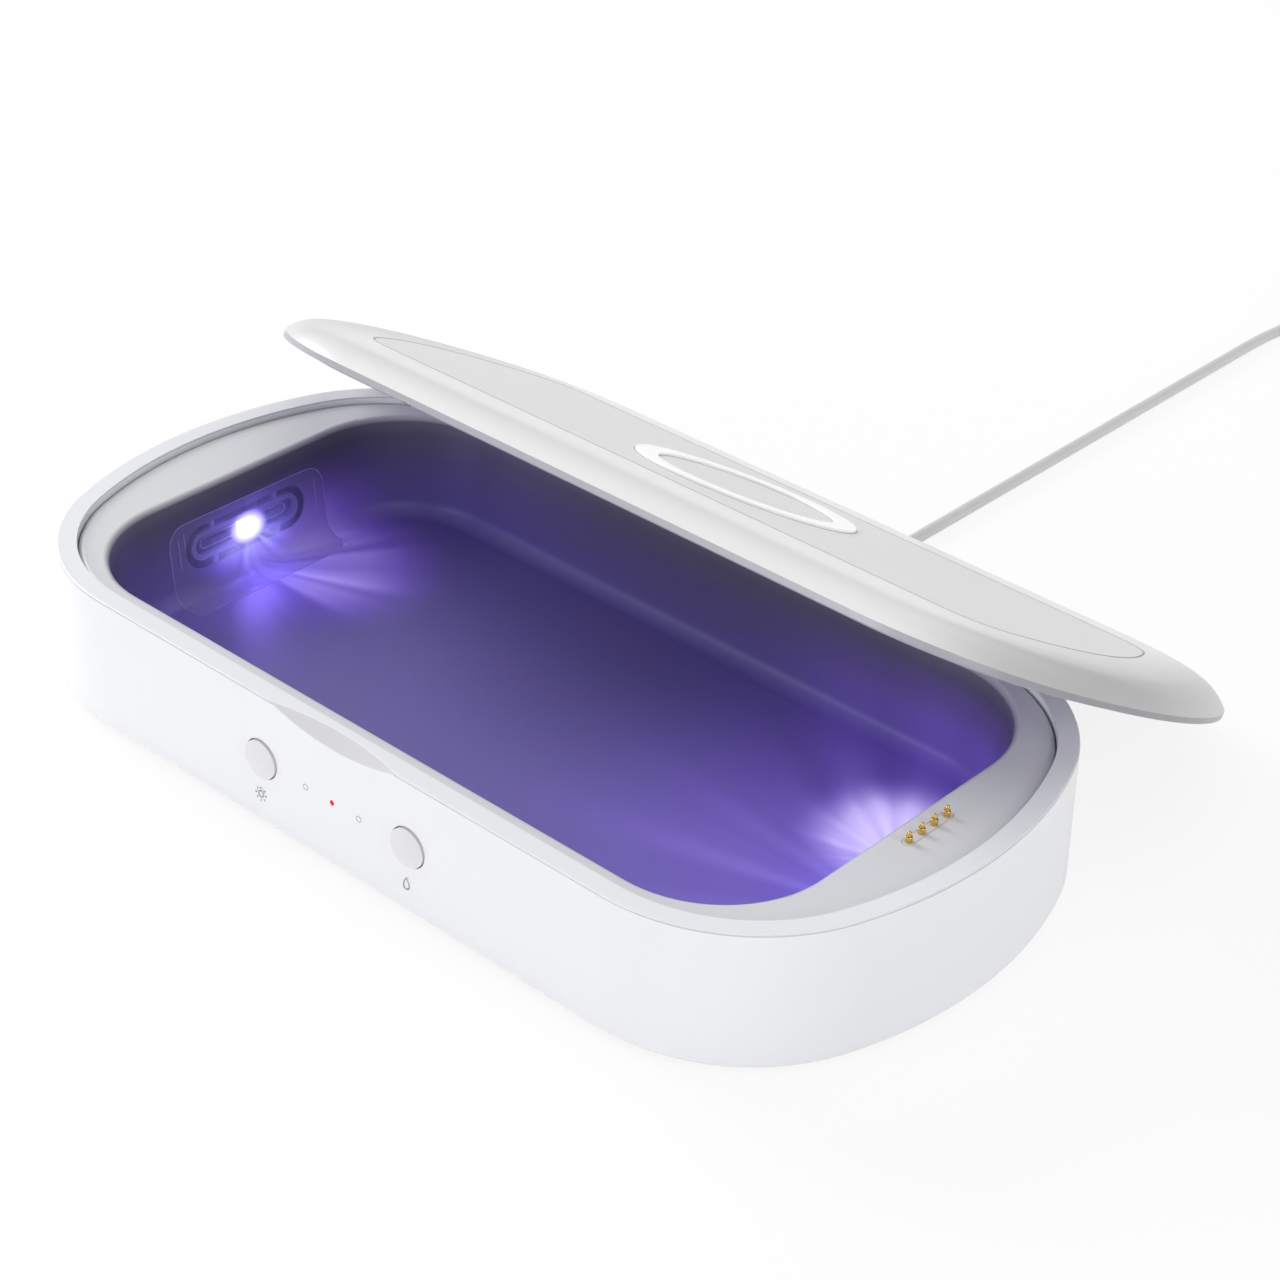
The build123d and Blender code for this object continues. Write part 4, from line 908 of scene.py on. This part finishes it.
def aimed(place, aim):
    # Lamp matrix whose -Z looks from place to aim
    back = np.array(place, float) - np.array(aim, float)
    back /= np.linalg.norm(back)
    side = np.cross((0.0, 0.0, 1.0), back)
    side = side / np.linalg.norm(side) if np.linalg.norm(side) > 1e-6 else np.array((1.0, 0.0, 0.0))
    rows = np.eye(4)
    rows[:3, :] = np.column_stack([side, np.cross(back, side), back, place])
    return Matrix(rows.tolist())


def addLamp(name, place, style):
    data = bpy.data.lights.new(name, "AREA")
    data.shape = "DISK"
    data.size = style["size"]
    data.energy = style["power"]
    data.color = hexColour(style.get("colour", "#FFFFFF"))[:3]
    lamp = bpy.data.objects.new(name, data)
    scene.collection.objects.link(lamp)
    lamp.matrix_world = aimed(place, style["aim"])


def buildStudio(style):
    half = style["floorSize"] / 2
    data = bpy.data.meshes.new("floor")
    data.from_pydata([(-half, -half, 0), (half, -half, 0), (half, half, 0), (-half, half, 0)], [], [(0, 1, 2, 3)])
    floor = bpy.data.objects.new("floor", data)
    scene.collection.objects.link(floor)
    floor.location.z = -style["floorDrop"]
    material = bpy.data.materials.new("Pale painted floor")
    material.use_nodes = True
    tree = material.node_tree
    tree.nodes.clear()
    paint = addNode(tree, "BsdfDiffuse", {"Color": hexColour(style["floorColour"])})
    white = addNode(tree, "Emission", {"Color": (1.0, 1.0, 1.0, 1.0), "Strength": 1.0})
    rays = addNode(tree, "LightPath", {})
    seen = addNode(tree, "Math", {"operation": "MAXIMUM", 0: rays.outputs["Is Camera Ray"],
                                  1: rays.outputs["Is Glossy Ray"]})
    seen = addNode(tree, "Math", {"operation": "MULTIPLY", 0: seen.outputs["Value"], 1: style["floorWhite"]})
    both = addNode(tree, "MixShader", {0: seen.outputs["Value"], 1: paint.outputs["BSDF"],
                                       2: white.outputs["Emission"]})
    addNode(tree, "OutputMaterial", {"Surface": both.outputs["Shader"]})
    data.materials.append(material)

    world = bpy.data.worlds.new("studio")
    scene.world = world
    world.use_nodes = True
    tree = world.node_tree
    tree.nodes.clear()
    rays = addNode(tree, "LightPath", {})
    seen = addNode(tree, "Math", {"operation": "MAXIMUM", 0: rays.outputs["Is Camera Ray"],
                                  1: rays.outputs["Is Transmission Ray"]})
    level = addNode(tree, "MapRange", {"Value": seen.outputs["Value"], "To Min": style["worldLight"], "To Max": 1.0})
    sky = addNode(tree, "Background", {"Color": (1.0, 1.0, 1.0, 1.0), "Strength": level.outputs["Result"]})
    addNode(tree, "OutputWorld", {"Surface": sky.outputs["Background"]})
    for number, key in enumerate(style["keys"]):
        addLamp(f"softbox{number}", key["place"], key)
    x, y, z = style["uv"]["place"]
    addLamp("uvShineLeft", (-x, y, z), style["uv"])
    addLamp("uvShineRight", (x, y, z), style["uv"])


buildStudio(studio)
scene.view_settings.view_transform = "Standard"
print("studio lit")
